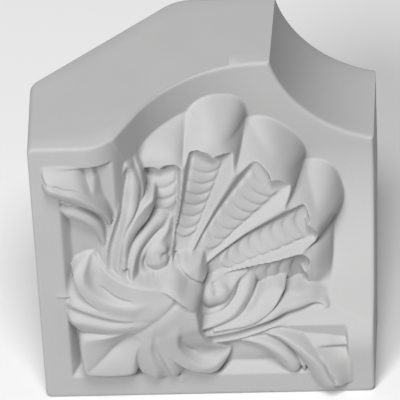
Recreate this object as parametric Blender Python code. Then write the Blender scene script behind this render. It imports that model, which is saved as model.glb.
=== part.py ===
"""Crown moulding corner: one cast block, mitred cyma face, quarter notch, carved shell and leaves.

The drawing is laid out in plan: u runs to the right from the left wall, v runs up from the lower wall,
and depth grows from the front plane towards the ceiling face. Both arms are alike, so the carving is
drawn once, over s (distance to the nearer wall) and r (distance to the farther wall).
"""
import math

import bmesh
import bpy
import numpy as np
from mathutils import Vector

UNIT = 0.001                      # sizes below are in millimetres

# block
BLOCK_WIDTH = 150.0               # along each wall, at the front plane
BLOCK_DEPTH = 98.2                # front plane to ceiling face
WALL_CONTACT = 43.0               # depth of the strip that lies on a wall
CEILING_START = 64.3              # distance from a wall at which the ceiling face begins
SPRING_ROUNDING = 20.0            # radius between the sprung back and the ceiling face
END_FLARE = 0.035                 # outward slope of the two end faces
CORNER_ROUNDING = 3.2             # radius of the block's outer corners in plan
ORIGIN_PLAN = 93.0                # plan distance of the origin from both walls

# quarter notch at the corner away from the walls
NOTCH_REACH = 106.3               # where the notch meets each end face, from the far wall
NOTCH_OFFSET = 13.9               # centre of the notch arc, outside the block's corner
NOTCH_FLARE = 0.06                # slope of the notch wall
NOTCH_STEPS = 26

# moulded face
FACE_DROP = 53.9                  # depth of the plain outer band
FACE_END = 104.0                  # distance from the wall at which the band is reached
BIG_ROUND = 66.0
SMALL_ROUND = 18.0
FACE_SLOPE = math.radians(58.8)

# frame round the carving
BORDER_WIDTH = 12.5
BAND_WIDTH = 12.0
PANEL_SUNK = 5.4                  # depth of the panel floor
PANEL_SLOPE = 4.2                 # width of its sloping walls

# one unit of the drawing of the carving, which is 150 units wide
DRAWN = BLOCK_WIDTH / 150

# shell
SHELL_ROOT = 61.6                 # distance of the shell's root from both walls
LOBE_EDGES = (-15.5, 15.5, 39.6, 60.5)       # degrees from the diagonal
HOOD_REACH = (73.5, 78.5, 71.0)              # root to the foot of each hood
HOOD_VALLEYS = (68.0, 68.0, 72.0, 66.0)      # root to the far ends of the valleys beside the hoods
HOOD_SWELL = 1.0
MOUTH_RADIUS = (61.5, 61.5, 56.5)            # root to the mouths of the flutes
MOUTH_ARCH = 3.5
FLUTE_DEPTH = 5.0
FLOOR_START = (0.54, 0.43, 0.66)             # edges of the ribbed floors, as shares of half a lobe
FLOOR_STOP = (0.54, 0.68, 0.74)
RIB_PITCH = 5.4
RIB_HEIGHT = 1.1
RIBS_FROM = (22, 24, 38)                     # drawing units from the root to the first rib

GRID_CELLS = 86                   # across the carved slab
SLAB_MARGIN = 2.0                 # of the carved slab outside the block
SLAB_THICKNESS = 15.0             # in front of the plan outline, and behind the walls
UNCOVERED = 1e3


def remove_everything():
    for item in list(bpy.data.objects):
        bpy.data.objects.remove(item, do_unlink=True)


def cyma(distance):
    """Depth of the plain moulded face at a distance from the wall."""
    slope = math.tan(FACE_SLOPE)
    big_start = FACE_END - BIG_ROUND * math.sin(FACE_SLOPE)
    big_depth = FACE_DROP - BIG_ROUND * (1 - math.cos(FACE_SLOPE))
    start = big_start - big_depth / slope - SMALL_ROUND * math.tan(FACE_SLOPE / 2)
    small_end = start + SMALL_ROUND * math.sin(FACE_SLOPE)
    hollow = SMALL_ROUND - np.sqrt(np.maximum(SMALL_ROUND ** 2 - (distance - start) ** 2, 0))
    straight = big_depth + (distance - big_start) * slope
    big = FACE_DROP - BIG_ROUND + np.sqrt(np.maximum(BIG_ROUND ** 2 - (FACE_END - distance) ** 2, 0))
    flat = 0 * distance
    return np.select([distance <= start, distance <= small_end, distance <= big_start, distance <= FACE_END],
                     [flat, hollow, straight, big], FACE_DROP)


def ease(x, low, high):
    x = np.clip((x - low) / (high - low), 0, 1)
    return x * x * (3 - 2 * x)


def curve_through(rows, count=60):
    """Points on a smooth curve through rows of numbers."""
    p = np.asarray(rows, float)
    p = np.vstack([2 * p[0] - p[1], p, 2 * p[-1] - p[-2]])
    spans = len(p) - 3
    each = max(count // spans, 2)
    out = []
    for i in range(spans):
        last = i == spans - 1
        t = np.linspace(0, 1, each, endpoint=last)[:, None]
        a, b, c, d = p[i:i + 4]
        out.append(0.5 * (2 * b + (c - a) * t + (2 * a - 5 * b + 4 * c - d) * t ** 2
                          + (3 * b - a - 3 * c + d) * t ** 3))
    return np.vstack(out)


class Carving:
    """Depth of the carved face over plan points, drawn once for both arms, in drawing units."""

    def __init__(self, u, v):
        self.s = np.minimum(u, v) / DRAWN
        self.r = np.maximum(u, v) / DRAWN
        self.along = (self.s + self.r) / math.sqrt(2)
        self.across = (self.r - self.s) / math.sqrt(2)
        self.plain = cyma(self.s * DRAWN) / DRAWN
        self.depth = self.plain.copy()

    def near_path(self, path, reach):
        """Points near a path, their place along it, their distance and their side of it."""
        near = np.nonzero((self.s > path[:, 0].min() - reach) & (self.s < path[:, 0].max() + reach)
                          & (self.r > path[:, 1].min() - reach) & (self.r < path[:, 1].max() + reach))[0]
        s, r = self.s[near], self.r[near]
        best = np.full(len(near), 1e9)
        place = np.zeros(len(near))
        side = np.ones(len(near))
        for i in range(len(path) - 1):
            step_s, step_r = path[i + 1, :2] - path[i, :2]
            from_s, from_r = s - path[i, 0], r - path[i, 1]
            k = np.clip((from_s * step_s + from_r * step_r) / (step_s ** 2 + step_r ** 2), 0, 1)
            off_s, off_r = from_s - k * step_s, from_r - k * step_r
            dist = off_s ** 2 + off_r ** 2
            closer = dist < best
            best[closer] = dist[closer]
            place[closer] = i + k[closer]
            side[closer] = np.sign(step_s * from_r - step_r * from_s)[closer]
        return near, place, np.sqrt(best), side

    def blade(self, rows, left, right, power=2.0, fold=0.0, fold_at=0.0, fold_width=0.15, blend=1.2, rim=0.12,
              trim=None):
        """Add a leaf along rows of (s, r, depth, width on the left, width on the right).

        The surface falls by left and right (rises where they are negative) from the path to its two edges."""
        path = curve_through(rows)
        near, place, dist, side = self.near_path(path, path[:, 3:].max() + 1)
        index = np.arange(len(path))
        depth = np.interp(place, index, path[:, 2])
        half = np.where(side > 0, np.interp(place, index, path[:, 3]), np.interp(place, index, path[:, 4]))
        q = dist / np.maximum(half, 0.05)
        inside = q < 1
        near, q, depth, half, side = near[inside], q[inside], depth[inside], half[inside], side[inside]
        surface = depth + np.where(side > 0, left, right) * q ** power
        surface = surface + fold * np.exp(-((q * side - fold_at) / fold_width) ** 2)
        edge = np.clip((q - 1 + rim) / rim, 0, 1)
        surface = surface + (1 - np.sqrt(1 - 0.99 * edge ** 2)) * np.minimum(half * 0.3, 1.2)
        if trim is not None:
            surface = surface + 4 * np.maximum(trim - self.s[near], 0)
        self.merge(near, surface, blend)

    def sheet(self, stations, blend=0.8, skirt=6.0):
        """Add a surface lofted through stations: rows of (s, r, depth) points from one edge to the other."""
        grid = np.asarray(stations, float)
        rows, columns = grid.shape[:2]
        grid = curve_through(grid.reshape(rows, -1), 200).reshape(-1, columns, 3)
        grid = curve_through(grid.transpose(1, 0, 2).reshape(columns, -1), 130).reshape(-1, len(grid), 3)
        for near, inner, at in ((grid[0], grid[3], 0), (grid[-1], grid[-4], len(grid))):
            out = near - inner
            out[:, 2] = 0
            out = out / np.maximum(np.hypot(out[:, 0], out[:, 1]), 1e-6)[:, None]
            steps = [near + out * share for share in (0.15, 0.3, 0.45, 0.6, 0.75, 0.9)]
            for step, share in zip(steps, (0.03, 0.1, 0.24, 0.45, 0.7, 1.0)):
                step[:, 2] += skirt * share
            grid = np.vstack([np.array(steps[::-1]), grid]) if at == 0 else np.vstack([grid, np.array(steps)])
        cell = 0.5
        size = int(170 / cell)
        total = np.zeros(size * size)
        weight = np.zeros(size * size)
        flat = grid.reshape(-1, 3)
        place = (flat[:, :2] + 5) / cell
        base = np.floor(place).astype(int)
        part = place - base
        for i in (0, 1):
            for j in (0, 1):
                share = np.abs(1 - i - part[:, 0]) * np.abs(1 - j - part[:, 1]) + 1e-9
                at = (base[:, 0] + i) * size + base[:, 1] + j
                np.add.at(total, at, share * flat[:, 2])
                np.add.at(weight, at, share)
        place = np.stack([self.s + 5, self.r + 5], 1) / cell
        base = np.floor(place).astype(int)
        part = place - base
        depth = np.zeros(len(base))
        known = np.zeros(len(base))
        for i in (0, 1):
            for j in (0, 1):
                share = np.abs(1 - i - part[:, 0]) * np.abs(1 - j - part[:, 1])
                at = (base[:, 0] + i) * size + base[:, 1] + j
                there = weight[at] > 0.02
                depth += np.where(there, share * total[at] / np.maximum(weight[at], 1e-9), 0)
                known += np.where(there, share, 0)
        near = np.nonzero(known > 0.45)[0]
        self.merge(near, depth[near] / known[near], blend)

    def groove(self, rows, depth):
        """Cut a rounded groove along rows of (s, r, half width)."""
        path = curve_through(rows)
        near, place, dist, side = self.near_path(path, path[:, 2].max() * 2.5)
        half = np.interp(place, np.arange(len(path)), path[:, 2])
        share = place / (len(path) - 1)
        fade = np.clip(np.minimum(share, 1 - share) / 0.12, 0, 1)
        self.depth[near] += depth * fade * np.exp(-(dist / half) ** 2)

    def merge(self, near, surface, blend):
        """Keep the front-most surface, rounding the junction."""
        now = self.depth[near]
        k = np.clip(0.5 + 0.5 * (now - surface) / blend, 0, 1)
        self.depth[near] = now * (1 - k) + surface * k - blend * k * (1 - k)


def panel(face):
    """Sunk floor inside the frame."""
    start = BORDER_WIDTH / DRAWN
    slope = PANEL_SLOPE / DRAWN
    inside = 0.35 * ease(face.s, start - 0.6, start + slope + 0.4)
    inside = inside + 0.65 * np.clip((face.s - start) / slope, 0, 1)
    inside = inside * ease((BLOCK_WIDTH - BAND_WIDTH) / DRAWN - face.r, -0.4, 0.8)
    floor = np.maximum(face.depth, PANEL_SUNK / DRAWN)
    face.depth = face.depth * (1 - inside) + floor * inside


def shell(face):
    """Fluted shell with a hood over each flute."""
    out = face.along - SHELL_ROOT / DRAWN * math.sqrt(2)
    radius = np.hypot(out, face.across)
    angle = np.degrees(np.arctan2(face.across, out))
    angle = angle - 8.0 * np.exp(-((radius - 12) / 16.0) ** 2) * ease(angle, 10, 40)
    plain = face.plain
    inner = np.interp(radius, [8, 15, 22, 36, 50, 62, 80], [10.5, 12.6, 15.9, 20.8, 23.2, 25.0, 27.4])
    outer = np.interp(radius, [8, 15, 22, 36, 44, 50, 56, 62, 80],
                      [10.5, 12, 13.4, 14.8, 15.6, 17.4, 19.4, 20.8, 21.4])
    crest = inner + (outer - inner) * ease(angle, 20, 46)
    front = np.full(face.s.shape, UNCOVERED)
    for lobe in range(3):
        mouth_radius = MOUTH_RADIUS[lobe] / DRAWN
        low, high = LOBE_EDGES[lobe], LOBE_EDGES[lobe + 1]
        q = (angle - (low + high) / 2) / ((high - low) / 2)
        aq = np.clip(np.abs(q), 0, 1)
        # hood: a dome that falls to the moulding at its far end and to the valleys at its sides
        valley_end = np.where(q < 0, HOOD_VALLEYS[lobe], HOOD_VALLEYS[lobe + 1]) / DRAWN
        foot = HOOD_REACH[lobe] / DRAWN
        foot = foot - (foot - valley_end) * aq ** 3
        dome = np.clip((radius - 59) / (foot - 59), 0, 1)
        dome = 1 - (1 - dome ** 2) ** 0.68
        gully = np.clip((radius - 57.5) / (valley_end - 57.5), 0, 1) ** 1.25
        share = aq ** (6 - 3.8 * ease(radius, 60, 69))
        fall = dome * (1 - share) + gully * share
        swell = HOOD_SWELL / DRAWN * (1 - aq ** 2) * ease(radius, 56, 64)
        skin = crest - swell + (plain - crest + swell) * fall
        # flute: a ribbed floor between sloping sides
        spread = np.clip((radius - 26) / 32.0, 0, 1)
        edge = np.where(q < 0, FLOOR_START[lobe], FLOOR_STOP[lobe]) + 0.2 * (1 - spread)
        rise = ease((1 - aq) / (1 - edge), 0.0, 1.0)
        sunk = FLUTE_DEPTH / DRAWN * np.interp(radius, [8, 16, 30, 62], [0.1, 0.35, 0.7, 1.15]) * rise
        bent = radius + 3.0 * (1 - (aq / edge) ** 2)
        turn = (bent - mouth_radius + 1.5) * DRAWN / RIB_PITCH
        roll = np.sqrt(np.maximum(1 - (2 * (turn - np.floor(turn)) - 1) ** 2, 0))
        ribs = RIB_HEIGHT / DRAWN * roll * ease(bent, RIBS_FROM[lobe] - 1, RIBS_FROM[lobe] + 1)
        ribs = ribs * ease(mouth_radius - 1.5 - bent, 0, 0.4) * ease(edge + 0.06 - aq, 0, 0.16)
        under = crest + sunk - ribs
        arch = np.sqrt(1 - ((np.minimum(aq, 0.48) - 0.48) / 0.48) ** 2)
        mouth = mouth_radius + MOUTH_ARCH / DRAWN * arch
        mouth = mouth - 7.0 * (1 - np.sqrt(1 - (np.maximum(aq - 0.48, 0) / 0.53) ** 2))
        lip = skin + (np.maximum(under, skin) - skin) * ease(mouth - radius, 0, 0.7)
        depth = np.where(radius < mouth_radius - 4, under, lip)
        front = np.where((np.abs(q) <= 1) & (radius > 7), np.minimum(front, depth), front)
    covered = np.nonzero(front < UNCOVERED)[0]
    face.merge(covered, front[covered], 2.0)


def body(face):
    """The mass that the leaves lie on, between the shell, the frame and the knot."""
    stations = np.array([
        (8, 128, 13), (14, 121, 6), (18, 115, 3), (22, 112, 3), (27, 109, 3.4), (32, 103, 5), (34, 98, 6),
        (22, 134, 6), (25, 130, 6), (27, 123, 4), (31, 134, 12), (31, 126, 10), (32.5, 118, 8),
        (35, 110, 8),
        (38, 138, 17), (40, 128, 16), (40, 119, 14.5), (40, 110, 12), (38.7, 101, 9.5), (36.3, 91, 7),
        (34.5, 82, 5.5),
        (47, 138, 23), (50, 128, 22), (49, 118, 18), (50, 108, 15), (46, 100, 11), (43, 90, 7),
        (42, 80, 4.5),
        (54, 118, 26), (55, 100, 18.5), (50, 88, 11), (48, 78, 8), (58, 88, 16), (60, 78, 12),
        (55, 70, 4), (48, 72, 3),
        (12, 110, 9), (17, 104, 6.4), (21, 98, 5), (23, 90, 5), (25, 83, 6), (27, 97, 3.8),
        (28, 88, 4.4),
        (31, 79, 5), (38, 76, 3), (64, 68, 0)], float)
    apart_s = stations[:, None, 0] - stations[None, :, 0]
    apart_r = stations[:, None, 1] - stations[None, :, 1]
    spread = np.hypot(apart_s, apart_r)
    count = len(stations)
    flat = np.column_stack([np.ones(count), stations[:, :2]])
    system = np.block([[thin_plate(spread) + 0.4 * np.eye(count), flat], [flat.T, np.zeros((3, 3))]])
    weight = np.linalg.solve(system, np.append(stations[:, 2], [0, 0, 0]))
    near = np.nonzero((face.s > 8) & (face.s < 61) & (face.r > 62) & (face.r < 138.6))[0]
    s, r = face.s[near], face.r[near]
    depth = weight[-3] + weight[-2] * s + weight[-1] * r
    for (at_s, at_r, _), strength in zip(stations, weight):
        depth = depth + strength * thin_plate(np.hypot(s - at_s, r - at_r))
    out = face.along[near] - SHELL_ROOT * math.sqrt(2)
    turn = np.degrees(np.arctan2(face.across[near], out))
    depth = depth + 14 * ease(turn, 63, 56) * ease(np.hypot(out, face.across[near]), 24, 34)
    face.merge(near, depth, 2.5)


def thin_plate(distance):
    return distance ** 2 * np.log(np.maximum(distance, 1e-6))


def leaves(face):
    """Leaves between the shell and the frame."""
    body(face)
    # from the frame to the shell: valley, strip, hollow, thin ridge, groove, then the long leaf's rim,
    # channel,
    # back and outer edge, a hollow, and the rim beside the shell
    face.sheet([
        [(24.4, 138.2, 4.4), (28, 138.2, 3.4), (32.6, 138.2, 13.6), (33.6, 138, 13.4), (34.6, 138, 14.6),
         (37.2, 137.8, 15.6), (39.6, 137.6, 17), (41.4, 137.4, 18.2), (43, 137.4, 19.4),
         (44.6, 137.4, 21), (46.6, 137.4, 22)],
        [(24.6, 133.4, 4), (28.4, 132.8, 2.8), (33.4, 132.4, 13), (34.3, 132.3, 12.5), (35.3, 132.2, 13.8),
         (38.4, 132.2, 14.4), (40.8, 132, 15.2), (42.2, 132, 16), (43.2, 131.8, 17.6), (44, 131.8, 19.6),
         (45, 131.8, 19.8)],
        [(24.9, 130.8, 3.4), (28.8, 130.2, 2.2), (33.9, 130, 12.4), (34.7, 130, 11.8), (35.7, 129.8, 13.2),
         (41.8, 130, 12), (42.6, 129.8, 11.8), (43.3, 129.4, 12.2), (44.1, 128.8, 13.4),
         (45.1, 129.2, 18), (45.9, 129.2, 18.4)],
        [(25.6, 127, 2.4), (28.8, 126.4, 1.6), (34.4, 126.4, 11.4), (35.2, 126.4, 10.6), (36.1, 126.2, 12),
         (41, 126.4, 10.8), (42.4, 126, 13), (44, 126.2, 12.6), (45.2, 125.8, 13.6), (46.1, 125.8, 17),
         (47, 125.8, 16.8)],
        [(26.8, 123.4, 1.4), (28.8, 122.8, 1.2), (34.9, 122.8, 10.2), (35.7, 123, 9.4), (36.6, 122.9, 10.8),
         (39.3, 123.3, 9.4), (41.6, 122.4, 13.6), (44.6, 123, 12), (46.4, 122.6, 12.8),
         (47.3, 122.4, 15.4), (48.1, 122.4, 15.2)],
        [(29.4, 117.6, 4), (31, 117.4, 3.6), (35.6, 117, 8.6), (36.5, 117.2, 7.6), (37.2, 117, 8.8),
         (38.3, 117.4, 7.8), (40.2, 117.4, 12), (44.4, 117.2, 9.2), (47.4, 117.3, 11.2),
         (48.2, 117.3, 14), (48.9, 117.2, 13.8)],
        [(31.6, 111.4, 4.6), (33.4, 111.2, 4.2), (36.2, 111, 6.8), (37.2, 111.2, 5.6), (37.8, 111, 7.2),
         (38.5, 111, 6.4), (40.1, 111, 9.8), (44, 111, 7), (47, 111.2, 9.2), (47.9, 111, 12.4),
         (49.1, 111.4, 12.8)],
        [(32.4, 105.8, 5), (33.8, 105.6, 4.6), (35.9, 105.4, 5.6), (37.1, 105.4, 4.3), (37.7, 105.2, 5.6),
         (38.2, 105.2, 6), (39.4, 105, 7.8), (42, 105, 4.2), (44.7, 105, 4.8), (45.6, 105, 7.6),
         (47, 105, 9.6)],
        [(31.6, 98, 4.8), (32.6, 98, 4.4), (33.7, 97.6, 4.2), (34.7, 97.4, 2.9), (35.3, 97.2, 4.2),
         (36, 97, 4.8), (37.4, 97, 5.6), (39.8, 97.3, 2.6), (40.8, 97.4, 2.9), (41.8, 97.4, 4),
         (43.4, 97.4, 6.4)],
        [(29.4, 89, 4), (30.2, 88.8, 3.6), (31.4, 88.6, 3), (32.3, 88.4, 1.9), (32.9, 88.2, 2.8),
         (33.6, 88, 3.4), (34.9, 88, 3.8), (37.6, 88, 1.2), (38.8, 88, 1.6), (40, 88, 2.6), (41.4, 88, 4)],
        [(28.4, 80, 3.2), (29.2, 80, 2.8), (30.4, 79.6, 2), (31.4, 79.2, 1), (32, 79, 1.6),
         (32.8, 79, 2), (34, 79, 2.2), (36.4, 78, 0), (37.8, 78, 0.4), (39, 78, 1.2), (40.4, 78, 2.2)],
        [(29.6, 73, 1), (30.4, 73, 0.8), (31.6, 73, 0.4), (32.6, 73, 0), (33.2, 73, 0.4),
         (34, 73, 0.4), (35.2, 73, 0), (37.6, 73, -1.4), (39.4, 73, -1), (40.2, 73, -0.2),
         (41.2, 73, 0.6)]],
        blend=0.4, skirt=3.0)
    # double leaf that laps over the frame: flank and rolled edge
    face.sheet([
        [(6.4, 139.4, 0.4), (6.7, 137, -1.8), (7.3, 134.6, -4.2), (8.4, 133, -5.2)],
        [(10.3, 139.6, 0.4), (10.6, 137, -1.6), (11, 134.2, -4), (11.8, 132.2, -5.2)],
        [(15.4, 139.6, 0.4), (15.3, 136.6, -1.2), (15.2, 132.8, -3.8), (15.2, 130.4, -5)],
        [(20.2, 139.2, 0.6), (20.2, 135.4, -0.6), (20.3, 131.4, -2.8), (20.5, 128.4, -4.5)],
        [(22.8, 138.2, 2), (22.9, 133.6, 0.8), (23.2, 130, -1.4), (23.8, 126.2, -3.8)],
        [(24.6, 138.2, 4.4), (24.8, 133, 3.4), (25.3, 128.6, 1.2), (26.4, 123.6, -1.6)],
        [(25.8, 138.2, 6.4), (26.1, 132, 5.4), (26.8, 127.6, 3.6), (28.4, 121.4, 1)]], blend=2.2, skirt=4.0)
    face.sheet([
        [(8.2, 133, -4.6), (7.3, 131.8, -5), (6.5, 129.6, -4), (6.2, 127.6, -2.4)],
        [(10.2, 132.2, -5.4), (9.9, 130.9, -6.4), (9, 128, -5.2), (8.2, 124.6, -2.2)],
        [(15.1, 130, -5.6), (14.9, 128.9, -6.5), (14.4, 125.6, -5.2), (13.6, 121.4, -1.8)],
        [(20.5, 127.9, -5.2), (20.1, 126.6, -6.2), (19.2, 123.2, -4.8), (18.4, 119.4, -1.6)],
        [(24, 125.3, -4.8), (23.5, 123.9, -5.6), (22.4, 120.6, -4), (21.6, 117.4, -1.2)],
        [(27.4, 121.9, -3.6), (26.9, 120.6, -4.5), (25.6, 117.6, -3), (24.8, 115.4, -0.6)],
        [(30.4, 118.4, -2), (29.9, 117, -3), (28.8, 114.2, -1.8), (27.9, 112.6, 0.2)],
        [(32.8, 114.4, -0.2), (32.3, 113, -1.2), (31.4, 110.6, 0), (30.4, 109.4, 1.4)],
        [(34.4, 109.4, 1.6), (34, 108.4, 0.9), (33.3, 107, 1.6), (32.3, 106, 2.8)],
        [(35, 104, 3.2), (34.4, 103, 2.8), (33.8, 102.4, 3.2), (33, 102, 4)]], blend=0.5, skirt=5.0)
    face.groove([(8.6, 132.8, 0.4), (12, 131.5, 0.45), (15.1, 129.9, 0.5), (20.5, 128, 0.5),
                 (24, 125.4, 0.5), (27.4, 122, 0.5),
                 (30.2, 118.8, 0.5), (32.6, 114.8, 0.5), (34.2, 110.4, 0.4)], 1.3)
    # sliver beside it
    face.blade([(22.5, 115.6, 1.4, 0.6, 0.6), (19.5, 117.2, 0, 1.0, 1.0), (16.6, 118, -0.6, 1.1, 1.1),
                (13.8, 118.2, 0, 0.6, 0.6)],
               0.8, 0.8, blend=0.5)
    # second leaf
    face.sheet([
        [(13.4, 115.4, 0.2), (13, 114.6, 0.2), (13, 113.8, 0.6)],
        [(15.4, 116, -0.6), (14.8, 113.8, -1.4), (14.3, 111.6, -0.2)],
        [(18, 115.9, -1), (17.5, 113, -2), (17.1, 109.2, -0.2)],
        [(20.8, 115, -1.2), (20.4, 111.6, -2), (20.1, 106.9, 0.2)],
        [(24.1, 112.6, -1), (23.6, 109, -1.7), (22.7, 104.8, 0.8)],
        [(27.4, 109.2, -0.4), (26.7, 105.6, -0.9), (25.2, 101.8, 1.4)],
        [(30, 104.7, 0.8), (29.1, 101.4, 0.4), (27.4, 98.2, 2.2)],
        [(31.4, 99.6, 2), (30.6, 96.6, 1.6), (29, 93.6, 3)],
        [(32, 93, 3), (31.2, 90.4, 2.8), (30, 88.4, 4)]], blend=0.6, skirt=5.0)
    # leaf beside the volute
    face.sheet([
        [(53.2, 109.6, 10.4), (53.4, 109, 10.8), (53.8, 108.4, 11.4)],
        [(50.2, 107.8, 8.4), (51.6, 106, 9.8), (53.2, 104.8, 12)],
        [(47.6, 105.8, 6.4), (49.6, 103.2, 8), (51.8, 101.6, 10.4)],
        [(45.3, 103.2, 4.6), (47.6, 100.6, 6), (50, 99.2, 8.4)],
        [(43.3, 99.8, 3), (45.2, 98, 4), (47.4, 97.2, 6.2)],
        [(41.4, 96, 1.9), (43.2, 95.2, 2.8), (45.4, 94.8, 5)],
        [(40.2, 91, 1), (41.4, 90.6, 1.6), (42.8, 90.4, 3.4)],
        [(39.6, 85, 0.4), (40.4, 84.8, 0.8), (41.4, 84.6, 2.2)],
        [(39, 78, -0.6), (39.8, 78, -0.4), (40.8, 78, 0.8)]], blend=0.4, skirt=3.0)
    # band round the volute
    face.sheet([
        [(59.6, 95.6, 17.8), (59.4, 94, 16.8), (59.6, 92, 16.8)],
        [(57, 96.8, 16.2), (57.4, 94.4, 14.4), (57.4, 91.2, 14.6)],
        [(54.2, 96.6, 14.4), (54.8, 94, 12.4), (54.6, 90.2, 12.2)],
        [(50.8, 95.4, 11.8), (51.9, 92.6, 9.6), (52, 88.9, 9.8)],
        [(47.6, 93.2, 9), (49.3, 90.6, 7), (50, 87.2, 8)],
        [(45, 91, 6.4), (47.2, 88.4, 4.8), (48.2, 85.4, 6.4)],
        [(43.2, 88.2, 4.4), (45.4, 85.4, 2.8), (46.8, 83.2, 5.2)],
        [(42.2, 84.6, 2.8), (44.2, 82, 1.2), (45.8, 80.8, 4)],
        [(41.6, 80.6, 1.2), (43.3, 78, -0.4), (44.9, 77.4, 2.6)],
        [(41.4, 76, -0.4), (42.8, 74, -1.8), (44.4, 74, 0.6)],
        [(42, 71, -3), (43.4, 70, -3.6), (45, 70.4, -2)]], blend=0.4, skirt=3.0)
    # wedge above the volute, its turn and its eye
    face.sheet([
        [(59.4, 93.6, 17.4), (60.4, 93.4, 16.4), (62, 93.6, 19.6)],
        [(57.6, 90.4, 14.4), (59, 89.4, 13), (62, 88.4, 18)],
        [(54.9, 88.8, 12), (57, 86.8, 10.2), (61.6, 85, 16.6)],
        [(51.8, 87, 9.8), (55.4, 84.6, 7.8), (61.4, 82.4, 14.4)],
        [(49.6, 84.6, 7.8), (54, 82.2, 6.2), (61, 80, 12.4)],
        [(48.4, 81.6, 7), (53.2, 79.6, 5.6), (60, 78.4, 10.8)],
        [(48.6, 77.8, 7), (53.2, 76.6, 5.8), (59, 76, 10)]], blend=1.2, skirt=5.0)
    face.blade([(57.2, 89.2, 13.4, 1, 1), (53.6, 87.2, 9.8, 1.5, 1.5), (50.4, 84.9, 7.4, 1.6, 1.6),
                (47.9, 81.8, 5.6, 1.6, 1.6),
                (46.4, 78.2, 4.6, 1.6, 1.6), (46.6, 74.4, 3.8, 1.7, 1.7), (48.9, 71.2, 3, 1.8, 1.8),
                (52.2, 70, 3, 1.6, 1.6)],
               1.6, 1.6, power=2.0, blend=0.6)
    face.blade([(54.4, 81.6, 6, 4.4, 4.4), (53.8, 79.4, 5, 5, 5), (53.4, 76.6, 4.4, 5.4, 5.4),
                (53.6, 75.4, 4.6, 5.2, 5.2)],
               2.4, 2.4, power=2.2, blend=0.8)
    face.blade([(61.8, 86, 13.6, 2.2, 2.2), (62.6, 82, 11.6, 2.8, 2.8), (62.8, 78, 9, 2.8, 2.8),
                (62.2, 74.6, 6.8, 2.4, 2.4)],
               0.8, 0.8, blend=1.6)
    face.groove([(56.6, 81.4, 0.6), (58.4, 80.6, 0.8), (60.4, 79.4, 0.9), (62, 77.4, 0.7)], 1.8)


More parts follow.
